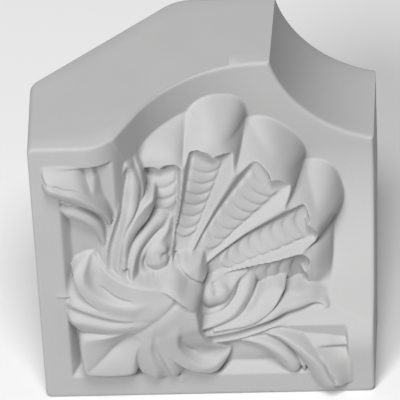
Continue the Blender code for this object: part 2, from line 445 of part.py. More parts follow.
def corner(face):
    """Five lobes that spread from the knot to the corner of the frame, and the knot."""
    # leaf on the diagonal, one half
    face.sheet([
        [(51, 51, -5.6), (49.5, 52, -5.8), (48.6, 52.4, -5.8), (48, 52.6, -5.4)],
        [(44.5, 44.5, -5.2), (44, 46, -5.6), (43, 47.3, -6), (42.4, 48, -5.4)],
        [(38, 38, -2.6), (36.4, 40.4, -4), (34, 43, -6), (32.6, 43.4, -5)],
        [(33, 33, -2.2), (30.4, 36, -4.2), (26, 41, -6.2), (25, 42.6, -4.8)],
        [(28.5, 28.5, -3.8), (26, 32, -5.2), (20.6, 39.2, -6.2), (18.6, 41.6, -4.6)],
        [(24.5, 24.5, -5), (22.6, 27.8, -5.8), (18.9, 34, -6.2), (17.5, 35.5, -5)],
        [(21.5, 21.5, -5.6), (20.4, 23.4, -6), (18.6, 26.4, -6.2), (17.8, 27.4, -5.2)],
        [(19, 19, -5.6), (18.9, 19.6, -5.6), (18.5, 20.4, -5.6), (18.2, 21, -5.2)]])
    # side lobe
    face.sheet([
        [(54, 57, -5.6), (52, 54.5, -6), (50, 52.8, -6), (49, 51, -6.2), (48, 49, -5.8)],
        [(42, 56.5, -6), (41.8, 53.6, -7.2), (41.4, 51.6, -6.8), (41, 49.6, -7.4), (40, 46, -6.6)],
        [(34, 58.5, -4.6), (34, 54.2, -6.8), (33.6, 51.4, -5.6), (33.2, 48.4, -7), (32.4, 43.4, -5.4)],
        [(27.5, 61.6, -3.4), (27.2, 56.4, -6.4), (26.6, 53, -4.8), (26.4, 49.4, -6.6), (25.6, 43.2, -4.4)],
        [(21, 63.8, -1.6), (20.6, 58.4, -5.4), (20.4, 54.9, -3.6), (20, 50.6, -5.8), (19, 44, -3.4)],
        [(16.4, 63.6, 0), (15.8, 59.6, -3.6), (16.2, 55.4, -2.4), (15.2, 51, -4.6), (14, 47.6, -2)],
        [(13.6, 61.4, 0.4), (12.9, 59.2, -1), (13.4, 55.6, -1.4), (12.8, 52.6, -2), (12.5, 51, -1)]])
    # great lobe, from its rim over the hollow and the turned edge to its outline
    face.sheet([
        [(63, 67, -4.4), (61.5, 64.5, -5.4), (59, 60.5, -6), (55, 54, -5.8)],
        [(56, 70, -5.8), (54.4, 65.4, -6.8), (52, 61, -7.2), (50, 54, -6.8)],
        [(48, 71.3, -6.3), (46, 64.3, -7), (45, 61, -8), (44, 54.2, -7.2)],
        [(42, 71.8, -4.8), (40.5, 63.6, -5.8), (39, 60.8, -7.3), (37, 55, -6.6)],
        [(36.4, 73.8, -3.2), (35, 64.2, -4), (33, 62.2, -6.4), (30.5, 56.8, -6)],
        [(32, 76.6, -1.2), (29.8, 67.4, -1.8), (27.5, 65.6, -5.5), (25.3, 60.4, -5.6)],
        [(29, 80.2, 1.2), (25.6, 72, -0.8), (23.4, 70, -5), (20.8, 65.4, -5.2)],
        [(27, 83.2, 3.2), (23.8, 77, -0.4), (20.8, 75.4, -4.4), (17.9, 71.6, -4.6)],
        [(26.2, 84.4, 4), (24.2, 80.8, 1.2), (21.4, 79.6, -2.2), (16.9, 77.2, -3.4)],
        [(26.3, 85.2, 4.4), (24.7, 83, 2.6), (22.4, 82.2, 0), (18.4, 81, -1)],
        [(26.4, 86, 5), (25.6, 85.2, 4.2), (24.4, 85, 3), (22.4, 84.6, 2.4)]], skirt=4.0)
    face.groove([(27.6, 69.8, 0.4), (30.7, 66.9, 0.6), (33.4, 64.9, 0.7), (36.2, 63.8, 0.7),
                 (39.4, 63.4, 0.6),
                 (43, 63.7, 0.4)], 0.9)
    # where the lobes meet
    face.blade([(42, 46, -5.6, 5, 5), (46, 50, -7.2, 7, 7), (50, 54.5, -7.9, 8, 8), (54, 58.5, -7.8, 8, 8),
                (58, 61.5, -7, 7, 7), (61.5, 64, -5.6, 5, 5)], 4.0, 4.0, power=2.0, blend=2.4, rim=0.02)
    # knot: a collar across the diagonal, with a boss above it
    face.sheet([
        [(50.6, 69.8, -2), (51.4, 70.8, 0), (52.2, 71.8, 3.6)],
        [(54, 69.8, -5), (55.2, 71.4, -2.4), (56.2, 72.8, 3.2)],
        [(57.4, 69, -6.8), (59, 71, -3.8), (60.4, 73, 2.6)],
        [(60.7, 67.1, -7.9), (62.2, 69.2, -4.8), (63.6, 71.4, 2)],
        [(64, 64, -8.4), (65.4, 65.4, -5.8), (67.2, 67.2, 2)],
        [(67.1, 60.7, -7.9), (69.2, 62.2, -4.8), (71.4, 63.6, 2)]], blend=0.5, skirt=4.0)
    face.sheet([
        [(62.2, 72.6, 4.2), (65, 70.4, 2.9), (67, 67, 2.8), (70.4, 65, 2.9)],
        [(64.4, 74.2, 5.8), (67, 71.6, 3.8), (68.8, 68.8, 3.4), (71.6, 67, 3.8)],
        [(65.8, 75.2, 7.6), (68.6, 72.6, 5), (70.6, 70.6, 4.6), (72.6, 68.6, 5)],
        [(67.6, 75.4, 10.4), (70, 73.6, 7.4), (72.2, 72.2, 7), (73.6, 70, 7.4)],
        [(69.4, 75.4, 12), (71.6, 74.2, 10.4), (73.4, 73.4, 10), (74.2, 71.6, 10.4)]], blend=2.4, skirt=4.0)


def carved_depth(u, v):
    face = Carving(u, v)
    panel(face)
    shell(face)
    leaves(face)
    corner(face)
    return face.depth * DRAWN


def evened_depth(u, v, cell):
    """Mean carved depth over a cell, so that narrow edges don't break up on a coarse grid."""
    reach = 0.45 * cell
    offsets = [(a * reach, b * reach) for a in (-1, 0, 1) for b in (-1, 0, 1)]
    many_u = np.concatenate([u + a for a, _ in offsets])
    many_v = np.concatenate([v + b for _, b in offsets])
    return carved_depth(many_u, many_v).reshape(len(offsets), -1).mean(0)


def place(u, depth, v):
    """Plan point and depth in the block's own frame, in metres."""
    return Vector(((u - ORIGIN_PLAN) * UNIT, (depth - BLOCK_DEPTH) * UNIT, (v - ORIGIN_PLAN) * UNIT))


def new_object(name, mesh_data, collection):
    mesh = bpy.data.meshes.new(name)
    mesh_data.to_mesh(mesh)
    mesh_data.free()
    item = bpy.data.objects.new(name, mesh)
    collection.objects.link(item)
    return item


def carved_slab(name, collection):
    """Solid slab, larger than the block in plan, whose front is the carved face."""
    data = bmesh.new()
    low = -SLAB_MARGIN
    high = BLOCK_WIDTH + END_FLARE * BLOCK_DEPTH + SLAB_MARGIN
    bmesh.ops.create_grid(data, x_segments=GRID_CELLS, y_segments=GRID_CELLS, size=0.5)
    u = np.array([low + (vert.co.x + 0.5) * (high - low) for vert in data.verts])
    v = np.array([low + (vert.co.y + 0.5) * (high - low) for vert in data.verts])
    depth = evened_depth(u, v, (high - low) / GRID_CELLS)
    for vert, a, b, c in zip(data.verts, u, depth, v):
        vert.co = place(a, b, c)
    edges = [edge for edge in data.edges if edge.is_boundary]
    grown = bmesh.ops.extrude_edge_only(data, edges=edges)
    rim = [item for item in grown["geom"] if isinstance(item, bmesh.types.BMVert)]
    for vert in rim:
        vert.co.y = SLAB_THICKNESS * UNIT
    bmesh.ops.holes_fill(data, edges=[edge for edge in data.edges if edge.is_boundary], sides=0)
    bmesh.ops.triangulate(data, faces=list(data.faces))
    bmesh.ops.recalc_face_normals(data, faces=list(data.faces))
    return new_object(name, data, collection)


def corner_arc(centre_u, centre_v, start, steps=4):
    """Quarter arc of an outer corner."""
    points = []
    for i in range(steps + 1):
        angle = math.radians(start + 90.0 * i / steps)
        across = centre_u + CORNER_ROUNDING * math.cos(angle)
        up = centre_v + CORNER_ROUNDING * math.sin(angle)
        points.append((across, up))
    return points


def outline_at(depth):
    """Plan outline of the block at a depth."""
    far = BLOCK_WIDTH + END_FLARE * depth
    reach = NOTCH_REACH + NOTCH_FLARE * (depth - FACE_DROP)
    centre = far + NOTCH_OFFSET
    radius = math.hypot(centre - reach, NOTCH_OFFSET)
    points = corner_arc(CORNER_ROUNDING, CORNER_ROUNDING, 180)
    points += corner_arc(far - CORNER_ROUNDING, CORNER_ROUNDING, 270)
    begin = math.atan2(reach - centre, far - centre)
    end = math.atan2(far - centre, reach - centre)
    if begin < 0:
        begin += 2 * math.pi
    if end < 0:
        end += 2 * math.pi
    for i in range(NOTCH_STEPS + 1):
        angle = begin + (end - begin) * i / NOTCH_STEPS
        points.append((centre + radius * math.cos(angle), centre + radius * math.sin(angle)))
    points += corner_arc(CORNER_ROUNDING, far - CORNER_ROUNDING, 90)
    return points


def lofted_prism(name, collection):
    """Closed body between the plan outlines in front of the carving and at the ceiling face."""
    data = bmesh.new()
    rings = []
    for depth in (-SLAB_THICKNESS, BLOCK_DEPTH):
        rings.append([data.verts.new(place(a, depth, b)) for a, b in outline_at(depth)])
    count = len(rings[0])
    data.faces.new(rings[0])
    data.faces.new(rings[1])
    for i in range(count):
        k = (i + 1) % count
        data.faces.new((rings[0][i], rings[0][k], rings[1][k], rings[1][i]))
    bmesh.ops.recalc_face_normals(data, faces=list(data.faces))
    return new_object(name, data, collection)


def spring_section():
    """Section removed behind the block: sprung line, rounding, then clear of the ceiling face."""
    rise = BLOCK_DEPTH - WALL_CONTACT
    length = math.hypot(CEILING_START, rise)
    away = (CEILING_START / length, rise / length)
    turn = math.atan2(rise, CEILING_START)
    tangent = SPRING_ROUNDING * math.tan(turn / 2)
    begin = (CEILING_START - away[0] * tangent, BLOCK_DEPTH - away[1] * tangent)
    centre = (CEILING_START + tangent, BLOCK_DEPTH - SPRING_ROUNDING)
    points = [(-SLAB_THICKNESS * away[0], WALL_CONTACT - SLAB_THICKNESS * away[1])]
    steps = 7
    for i in range(steps + 1):
        angle = math.pi / 2 + turn * (1 - i / steps)
        across = centre[0] + SPRING_ROUNDING * math.cos(angle)
        deep = centre[1] + SPRING_ROUNDING * math.sin(angle)
        points.append((across, deep))
    points[1] = begin
    points.append((CEILING_START + tangent, BLOCK_DEPTH + SLAB_THICKNESS))
    points.append((-2 * SLAB_THICKNESS, BLOCK_DEPTH + SLAB_THICKNESS))
    points.append((-2 * SLAB_THICKNESS, WALL_CONTACT - SLAB_THICKNESS * away[1]))
    return points


def spring_cutter(name, sideways, collection):
    """Prism behind one arm, along the wall."""
    data = bmesh.new()
    rings = []
    for run in (-SLAB_THICKNESS, BLOCK_WIDTH + SLAB_THICKNESS):
        ring = []
        for distance, depth in spring_section():
            where = place(distance, depth, run) if sideways else place(run, depth, distance)
            ring.append(data.verts.new(where))
        rings.append(ring)
    count = len(rings[0])
    data.faces.new(rings[0])
    data.faces.new(rings[1])
    for i in range(count):
        k = (i + 1) % count
        data.faces.new((rings[0][i], rings[0][k], rings[1][k], rings[1][i]))
    bmesh.ops.recalc_face_normals(data, faces=list(data.faces))
    return new_object(name, data, collection)


def hide_cutter(item):
    item.hide_render = True
    item.display_type = "WIRE"


def cut(item, other, how):
    step = item.modifiers.new(how.lower() + " " + other.name, "BOOLEAN")
    step.operation = how
    step.solver = "EXACT"
    step.object = other


def cast_material():
    material = bpy.data.materials.new("primed casting")
    material.use_nodes = True
    shader = material.node_tree.nodes["Principled BSDF"]
    shader.inputs["Base Color"].default_value = (0.78, 0.78, 0.77, 1)
    shader.inputs["Roughness"].default_value = 0.75
    return material


def build():
    remove_everything()
    parts = bpy.data.collections.new("crown moulding corner")
    cutters = bpy.data.collections.new("cutters")
    bpy.context.scene.collection.children.link(parts)
    bpy.context.scene.collection.children.link(cutters)
    block = carved_slab("corner_block", parts)
    outline = lofted_prism("plan outline", cutters)
    left = spring_cutter("left spring", True, cutters)
    lower = spring_cutter("lower spring", False, cutters)
    cut(block, outline, "INTERSECT")
    cut(block, left, "DIFFERENCE")
    cut(block, lower, "DIFFERENCE")
    for item in (outline, left, lower):
        hide_cutter(item)
    block.data.materials.append(cast_material())


build()
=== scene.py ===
"""Dresses the crown moulding corner: a finely carved casting, its priming, the floor, lights and camera."""

import math

import bpy
import numpy as np
from mathutils import Matrix, Vector, geometry


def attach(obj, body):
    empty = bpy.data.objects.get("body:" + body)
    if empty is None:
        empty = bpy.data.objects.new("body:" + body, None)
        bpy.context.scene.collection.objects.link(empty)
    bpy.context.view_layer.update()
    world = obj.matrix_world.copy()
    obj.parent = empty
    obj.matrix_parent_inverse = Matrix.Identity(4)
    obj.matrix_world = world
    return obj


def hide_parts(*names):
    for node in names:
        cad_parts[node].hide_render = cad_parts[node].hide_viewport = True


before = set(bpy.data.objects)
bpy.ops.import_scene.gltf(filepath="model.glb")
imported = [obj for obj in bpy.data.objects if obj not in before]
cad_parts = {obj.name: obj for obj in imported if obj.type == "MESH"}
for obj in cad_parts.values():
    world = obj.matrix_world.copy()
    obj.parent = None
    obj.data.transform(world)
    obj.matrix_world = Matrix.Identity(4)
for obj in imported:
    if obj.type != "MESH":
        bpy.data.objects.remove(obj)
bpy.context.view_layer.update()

UNIT = 0.001                      # sizes below are in millimetres

# block, as in the solid model
BLOCK_WIDTH = 150.0               # along each wall, at the front plane
BLOCK_DEPTH = 98.2                # front plane to ceiling face
WALL_CONTACT = 43.0               # depth of the strip that lies on a wall
CEILING_START = 64.3              # distance from a wall at which the ceiling face begins
SPRING_ROUNDING = 20.0            # radius between the sprung back and the ceiling face
END_FLARE = 0.035                 # outward slope of the two end faces
CORNER_ROUNDING = 3.2             # radius of the outer corners in plan
ORIGIN_PLAN = 93.0                # plan distance of the origin from both walls
NOTCH_REACH = 106.3               # where the notch meets each end face, from the far wall
NOTCH_OFFSET = 13.9               # centre of the notch arc, outside the block's corner
NOTCH_FLARE = 0.06                # slope of the notch wall
FACE_DROP = 53.9                  # depth of the plain outer band
FACE_END = 104.0                  # distance from the wall at which the band is reached
BIG_ROUND = 66.0
SMALL_ROUND = 18.0
FACE_SLOPE = math.radians(58.8)
BORDER_WIDTH = 12.5               # of the frame along the walls
BAND_WIDTH = 12.0                 # plain end of the frame beside the end faces
PANEL_SUNK = 5.4                  # depth of the panel floor
PANEL_SLOPE = 4.2                 # width of its sloping walls
FRONT_LIMIT = -8.1                # the carving stands no further out than this

# shell
SHELL_ROOT = 61.6                             # distance of the shell's root from both walls
SHELL_START = 7                               # where the shell begins, from the root
LOBE_EDGES = (-15.5, 15.5, 39.6, 60.5)        # degrees from the diagonal
HOOD_REACH = (73.5, 78.5, 71.0)               # far ends of the hoods, from the root
HOOD_VALLEYS = (68.0, 68.0, 72.0, 66.0)       # far ends of the valleys beside them
HOOD_START = 59.0                             # where the hoods begin to fall, from the root
GULLY_START = 57.5                            # where the valleys between them do
HOOD_SWELL = 1.0
MOUTH_RADIUS = (61.5, 61.5, 56.5)             # from the root to the mouths of the flutes
MOUTH_ARCH = 3.5
FLUTE_DEPTH = 5.0
FLOOR_START = (0.54, 0.43, 0.66)              # edges of the ribbed floors, as shares of half a lobe
FLOOR_STOP = (0.54, 0.68, 0.74)
RIB_PITCH = 5.4
RIB_HEIGHT = 1.1
RIBS_FROM = (22, 24, 38)                      # from the root to the first rib
RIBS_STOP = 1.5                               # from the last rib to the mouth
UNCOVERED = 1e3                               # depth given to points beside the shell

# how the carving is drawn
SHEET_ROWS = 520                  # steps along a lofted surface
SHEET_COLUMNS = 300               # steps across it
SHEET_CELL = 0.3                  # of the lattice that it is read through
SHEET_MARGIN = 5.0                # of that lattice outside the block
SKIRT_WIDTH = 1.0                 # of the rows that carry a surface's edges down
SKIRT_STEPS = 12

# finish of the casting
FRONT_EDGE = 1.5                  # rounding of the front edges
REAR_EDGE = 2.0                   # rounding of the rear edges
POINT_SPACING = 0.48              # of the carved face
REAR_SPACING = 1.5                # of the rear
EVENED_OVER = 0.62                # reach of the mean depth, as a share of the point spacing
RING_STEPS = (0.0, 0.04, 0.15, 0.33, 0.6, 1.0, 1.5)      # shares of the edge rounding, from the edge inwards
CORNER_STEPS = 10                 # points on each rounded corner of the plan outline
WALL_STEPS = 170                  # along each wall face
END_STEPS = 120                   # along each end face
NOTCH_STEPS = 90
SIDE_ROWS = 7                     # rows of faces between the front and rear edges
PRIMING_DARK = (0.33, 0.33, 0.329, 1)
PRIMING_LIGHT = (0.37, 0.37, 0.369, 1)

# studio
FLOOR_GREY = 0.68
FLOOR_REACH = 4.0                 # in metres, from the origin
SKY_STRENGTH = 0.05
LAMPS_AIM = (-0.02, -0.06, -0.02)             # in metres
LAMPS = (("key", (-1.12, -2.42, 2.17), 1.1, 88), ("top", (0.10, -1.49, 3.06), 1.2, 100))
CAMERA_PLACE = (161.9, -1778.7, 1692.5)       # across, depth and up, from the walls and the front plane
CAMERA_YAW = -2.80                # in degrees, as the next two
CAMERA_PITCH = 41.47
CAMERA_ROLL = -3.12
CAMERA_LENS = 484.2               # focal length
CAMERA_SENSOR = 36.0              # its width


def cyma(distance):
    """Depth of the plain moulded face at a distance from the wall."""
    slope = math.tan(FACE_SLOPE)
    big_start = FACE_END - BIG_ROUND * math.sin(FACE_SLOPE)
    big_depth = FACE_DROP - BIG_ROUND * (1 - math.cos(FACE_SLOPE))
    start = big_start - big_depth / slope - SMALL_ROUND * math.tan(FACE_SLOPE / 2)
    small_end = start + SMALL_ROUND * math.sin(FACE_SLOPE)
    hollow = SMALL_ROUND - np.sqrt(np.maximum(SMALL_ROUND ** 2 - (distance - start) ** 2, 0))
    straight = big_depth + (distance - big_start) * slope
    big = FACE_DROP - BIG_ROUND + np.sqrt(np.maximum(BIG_ROUND ** 2 - (FACE_END - distance) ** 2, 0))
    flat = 0 * distance
    return np.select([distance <= start, distance <= small_end, distance <= big_start, distance <= FACE_END],
                     [flat, hollow, straight, big], FACE_DROP)


def ease(x, low, high):
    """Smooth step from 0 at the low value to 1 at the high one."""
    x = np.clip((x - low) / (high - low), 0, 1)
    return x * x * (3 - 2 * x)


def curve_through(rows, count=60):
    """Points on a smooth curve through rows of numbers."""
    p = np.asarray(rows, float)
    p = np.vstack([2 * p[0] - p[1], p, 2 * p[-1] - p[-2]])
    spans = len(p) - 3
    each = max(count // spans, 2)
    out = []
    for i in range(spans):
        last = i == spans - 1
        t = np.linspace(0, 1, each, endpoint=last)[:, None]
        a, b, c, d = p[i:i + 4]
        out.append(0.5 * (2 * b + (c - a) * t + (2 * a - 5 * b + 4 * c - d) * t ** 2
                          + (3 * b - a - 3 * c + d) * t ** 3))
    return np.vstack(out)


def skirt_rows(edge, inner, drop):
    """Rows of points that carry the edge of a sheet outwards and down behind what it lies on."""
    out = edge - inner
    out[:, 2] = 0
    out = out / np.maximum(np.hypot(out[:, 0], out[:, 1]), 1e-6)[:, None]
    shares = np.linspace(0.08, 1, SKIRT_STEPS)[:, None, None]
    rows = edge + SKIRT_WIDTH * out * shares
    rows[:, :, 2] += drop * shares[:, :, 0] ** 2
    return rows


def lattice_shares(points, size):
    """For each corner of the cells that hold the points: its number on the lattice and its share."""
    where = (points + SHEET_MARGIN) / SHEET_CELL
    base = np.floor(where).astype(int)
    part = where - base
    for i in (0, 1):
        for j in (0, 1):
            share = np.abs(1 - i - part[:, 0]) * np.abs(1 - j - part[:, 1])
            yield (base[:, 0] + i) * size + base[:, 1] + j, share


class Carving:
    """Depth of the carved face over plan points, drawn once for both arms.

    s and r are a point's distances from the nearer and the farther wall, so both arms get the same depth."""

    def __init__(self, u, v):
        self.s = np.minimum(u, v)
        self.r = np.maximum(u, v)
        self.along = (self.s + self.r) / math.sqrt(2)
        self.across = (self.r - self.s) / math.sqrt(2)
        self.depth = cyma(self.s)

    def near_path(self, path, reach):
        """Points near a path, their place along it, their distance and their side of it."""
        near = np.nonzero((self.s > path[:, 0].min() - reach) & (self.s < path[:, 0].max() + reach)
                          & (self.r > path[:, 1].min() - reach) & (self.r < path[:, 1].max() + reach))[0]
        s, r = self.s[near], self.r[near]
        best = np.full(len(near), 1e9)
        place = np.zeros(len(near))
        side = np.ones(len(near))
        for i in range(len(path) - 1):
            step_s, step_r = path[i + 1, :2] - path[i, :2]
            from_s, from_r = s - path[i, 0], r - path[i, 1]
            k = np.clip((from_s * step_s + from_r * step_r) / (step_s ** 2 + step_r ** 2), 0, 1)
            off_s, off_r = from_s - k * step_s, from_r - k * step_r
            dist = off_s ** 2 + off_r ** 2
            closer = dist < best
            best[closer] = dist[closer]
            place[closer] = i + k[closer]
            side[closer] = np.sign(step_s * from_r - step_r * from_s)[closer]
        return near, place, np.sqrt(best), side

    def blade(self, rows, left, right, power=2.0, blend=1.2, rim=0.12):
        """Add a rounded leaf along rows of (s, r, depth, width on the left, width on the right).

        The surface falls by left and right from the path to its two edges."""
        path = curve_through(rows)
        near, place, dist, side = self.near_path(path, path[:, 3:].max() + 1)
        index = np.arange(len(path))
        depth = np.interp(place, index, path[:, 2])
        half = np.where(side > 0, np.interp(place, index, path[:, 3]), np.interp(place, index, path[:, 4]))
        q = dist / np.maximum(half, 0.05)
        inside = q < 1
        near, q, depth, half, side = near[inside], q[inside], depth[inside], half[inside], side[inside]
        surface = depth + np.where(side > 0, left, right) * q ** power
        edge = np.clip((q - 1 + rim) / rim, 0, 1)
        surface = surface + (1 - np.sqrt(1 - 0.99 * edge ** 2)) * np.minimum(half * 0.3, 1.2)
        self.merge(near, surface, blend)

    def sheet(self, stations, blend=0.8, skirt=6.0):
        """Add a surface lofted through stations, rows of (s, r, depth) points from one edge to the other."""
        grid = np.asarray(stations, float)
        rows, columns = grid.shape[:2]
        grid = curve_through(grid.reshape(rows, -1), SHEET_ROWS).reshape(-1, columns, 3)
        across = grid.transpose(1, 0, 2).reshape(columns, -1)
        grid = curve_through(across, SHEET_COLUMNS).reshape(-1, len(grid), 3)
        # skirts beyond the first and last rows, then beyond the sides
        for _ in range(2):
            first, last = skirt_rows(grid[0], grid[3], skirt), skirt_rows(grid[-1], grid[-4], skirt)
            grid = np.vstack([first[::-1], grid, last])
            grid = grid.transpose(1, 0, 2)
        # mean depth of the surface on a lattice, read back at the drawn points
        size = int((BLOCK_WIDTH + 4 * SHEET_MARGIN) / SHEET_CELL)
        total = 0
        weight = 0
        flat = grid.reshape(-1, 3)
        for at, share in lattice_shares(flat[:, :2], size):
            share = share + 1e-9
            total = total + np.bincount(at, share * flat[:, 2], size * size)
            weight = weight + np.bincount(at, share, size * size)
        depth = np.zeros(len(self.s))
        known = np.zeros(len(self.s))
        for at, share in lattice_shares(np.stack([self.s, self.r], 1), size):
            there = weight[at] > 0.02
            depth += np.where(there, share * total[at] / np.maximum(weight[at], 1e-9), 0)
            known += np.where(there, share, 0)
        near = np.nonzero(known > 0.45)[0]
        self.merge(near, depth[near] / known[near], blend)

    def groove(self, rows, depth):
        """Cut a rounded groove along rows of (s, r, half width)."""
        path = curve_through(rows)
        near, place, dist, _ = self.near_path(path, path[:, 2].max() * 2.5)
        half = np.interp(place, np.arange(len(path)), path[:, 2])
        share = place / (len(path) - 1)
        fade = np.clip(np.minimum(share, 1 - share) / 0.12, 0, 1)
        self.depth[near] += depth * fade * np.exp(-(dist / half) ** 2)

    def merge(self, near, surface, blend):
        """Keep the front-most surface, rounding the junction."""
        now = self.depth[near]
        k = np.clip(0.5 + 0.5 * (now - surface) / blend, 0, 1)
        self.depth[near] = now * (1 - k) + surface * k - blend * k * (1 - k)


def panel(face):
    """Sunk floor inside the frame."""
    inside = 0.35 * ease(face.s, BORDER_WIDTH - 0.6, BORDER_WIDTH + PANEL_SLOPE + 0.4)
    inside = inside + 0.65 * np.clip((face.s - BORDER_WIDTH) / PANEL_SLOPE, 0, 1)
    inside = inside * ease(BLOCK_WIDTH - BAND_WIDTH - face.r, -0.4, 0.8)
    floor = np.maximum(face.depth, PANEL_SUNK)
    face.depth = face.depth * (1 - inside) + floor * inside


def crest_depth(radius, angle):
    """Depth of the ridges between the flutes, nearer the viewer at the shell's sides."""
    inner = np.interp(radius, [8, 15, 22, 36, 50, 62, 80], [10.5, 12.6, 15.9, 20.8, 23.2, 25.0, 27.4])
    outer = np.interp(radius, [8, 15, 22, 36, 44, 50, 56, 62, 80],
                      [10.5, 12, 13.4, 14.8, 15.6, 17.4, 19.4, 20.8, 21.4])
    return inner + (outer - inner) * ease(angle, 20, 46)


def hood_depth(lobe, q, radius, crest, plain):
    """A dome that falls to the moulding at its far end and to the valleys at its sides.

    q runs from -1 to 1 across the lobe."""
    off = np.clip(np.abs(q), 0, 1)
    valley_end = np.where(q < 0, HOOD_VALLEYS[lobe], HOOD_VALLEYS[lobe + 1])
    foot = HOOD_REACH[lobe] - (HOOD_REACH[lobe] - valley_end) * off ** 3
    dome = np.clip((radius - HOOD_START) / (foot - HOOD_START), 0, 1)
    dome = 1 - (1 - dome ** 2) ** 0.68
    gully = np.clip((radius - GULLY_START) / (valley_end - GULLY_START), 0, 1) ** 1.25
    share = off ** (6 - 3.8 * ease(radius, 60, 69))
    fall = dome * (1 - share) + gully * share
    swell = HOOD_SWELL * (1 - off ** 2) * ease(radius, 56, 64)
    return crest - swell + (plain - crest + swell) * fall


def flute_depth(lobe, q, radius, crest):
    """A ribbed floor between sloping sides."""
    off = np.clip(np.abs(q), 0, 1)
    spread = np.clip((radius - 26) / 32.0, 0, 1)
    edge = np.where(q < 0, FLOOR_START[lobe], FLOOR_STOP[lobe]) + 0.2 * (1 - spread)
    rise = ease((1 - off) / (1 - edge), 0.0, 1.0)
    sunk = FLUTE_DEPTH * np.interp(radius, [8, 16, 30, 62], [0.1, 0.35, 0.7, 1.15]) * rise
    bent = radius + 3.0 * (1 - (off / edge) ** 2)
    last_rib = MOUTH_RADIUS[lobe] - RIBS_STOP
    turn = (bent - last_rib) / RIB_PITCH
    roll = np.sqrt(np.maximum(1 - (2 * (turn - np.floor(turn)) - 1) ** 2, 0))
    ribs = RIB_HEIGHT * roll * ease(bent, RIBS_FROM[lobe] - 1, RIBS_FROM[lobe] + 1)
    ribs = ribs * ease(last_rib - bent, 0, 0.4) * ease(edge + 0.06 - off, 0, 0.16)
    return crest + sunk - ribs


def mouth_line(lobe, q):
    """Distance from the root at which the hood's lip crosses the flute."""
    off = np.clip(np.abs(q), 0, 1)
    arch = np.sqrt(1 - ((np.minimum(off, 0.48) - 0.48) / 0.48) ** 2)
    sides = 1 - np.sqrt(1 - (np.maximum(off - 0.48, 0) / 0.53) ** 2)
    return MOUTH_RADIUS[lobe] + MOUTH_ARCH * arch - 7.0 * sides


def shell(face):
    """Fluted shell with a hood over each flute."""
    out = face.along - SHELL_ROOT * math.sqrt(2)
    radius = np.hypot(out, face.across)
    angle = np.degrees(np.arctan2(face.across, out))
    angle = angle - 8.0 * np.exp(-((radius - 12) / 16.0) ** 2) * ease(angle, 10, 40)
    plain = cyma(face.s)
    crest = crest_depth(radius, angle)
    front = np.full(face.s.shape, UNCOVERED)
    last = len(HOOD_REACH) - 1
    for lobe in range(last + 1):
        low, high = LOBE_EDGES[lobe], LOBE_EDGES[lobe + 1]
        q = (angle - (low + high) / 2) / ((high - low) / 2)
        hood = hood_depth(lobe, q, radius, crest, plain)
        flute = flute_depth(lobe, q, radius, crest)
        open_flute = hood + (np.maximum(flute, hood) - hood) * ease(mouth_line(lobe, q) - radius, 0, 0.7)
        depth = np.where(radius < MOUTH_RADIUS[lobe] - 4, flute, open_flute)
        # the last lobe ends in a slope
        beyond = np.maximum(q - 1, 0) if lobe == last else 0
        depth = depth + 70 * beyond
        within = (np.abs(q) - beyond <= 1) & (q < 1.16) & (radius > SHELL_START)
        front = np.where(within, np.minimum(front, depth), front)
    covered = np.nonzero(front < UNCOVERED)[0]
    face.merge(covered, front[covered], 2.0)


def body(face):
    """The mass that the leaves lie on, between the shell, the frame and the knot."""
    # rows of s, r and depth
    stations = np.array([
        (8, 128, 13), (14, 121, 6), (18, 115, 3), (22, 112, 3), (27, 109, 3.4), (32, 103, 5), (34, 98, 6),
        (22, 134, 6), (25, 130, 6), (27, 123, 4), (31, 134, 12), (31, 126, 10), (32.5, 118, 8), (35, 110, 8),
        (38, 138, 17), (40, 128, 16), (40, 119, 14.5), (40, 110, 12), (38.7, 101, 9.5), (36.3, 91, 7),
        (34.5, 82, 5.5), (47, 138, 23), (50, 128, 22), (49, 118, 18), (50, 108, 15), (46, 100, 11),
        (43, 90, 7), (42, 80, 4.5), (54, 118, 26), (55, 100, 18.5), (50, 88, 11), (48, 78, 8), (58, 88, 16),
        (60, 78, 12), (55, 70, 4), (48, 72, 3), (12, 110, 9), (17, 104, 6.4), (21, 98, 5), (23, 90, 5.4),
        (25, 83, 7), (27, 97, 6.2), (28, 88, 6.4), (31, 79, 5), (38, 76, 3), (64, 68, 0)], float)
    apart = stations[:, None, :2] - stations[None, :, :2]
    spread = np.hypot(apart[:, :, 0], apart[:, :, 1])
    count = len(stations)
    flat = np.column_stack([np.ones(count), stations[:, :2]])
    system = np.block([[thin_plate(spread) + 0.4 * np.eye(count), flat], [flat.T, np.zeros((3, 3))]])
    weight = np.linalg.solve(system, np.append(stations[:, 2], [0, 0, 0]))
    near = np.nonzero((face.s > 8) & (face.s < 61) & (face.r > 62) & (face.r < 138.6))[0]
    s, r = face.s[near], face.r[near]
    depth = weight[-3] + weight[-2] * s + weight[-1] * r
    for (at_s, at_r, _), strength in zip(stations, weight):
        depth = depth + strength * thin_plate(np.hypot(s - at_s, r - at_r))
    out = face.along[near] - SHELL_ROOT * math.sqrt(2)
    turn = np.degrees(np.arctan2(face.across[near], out))
    depth = depth + 14 * ease(turn, 63, 56) * ease(np.hypot(out, face.across[near]), 24, 34)
    face.merge(near, depth, 2.5)


def thin_plate(distance):
    """Weight of a station at a distance, for a surface that bends as little as a thin plate."""
    return distance ** 2 * np.log(np.maximum(distance, 1e-6))


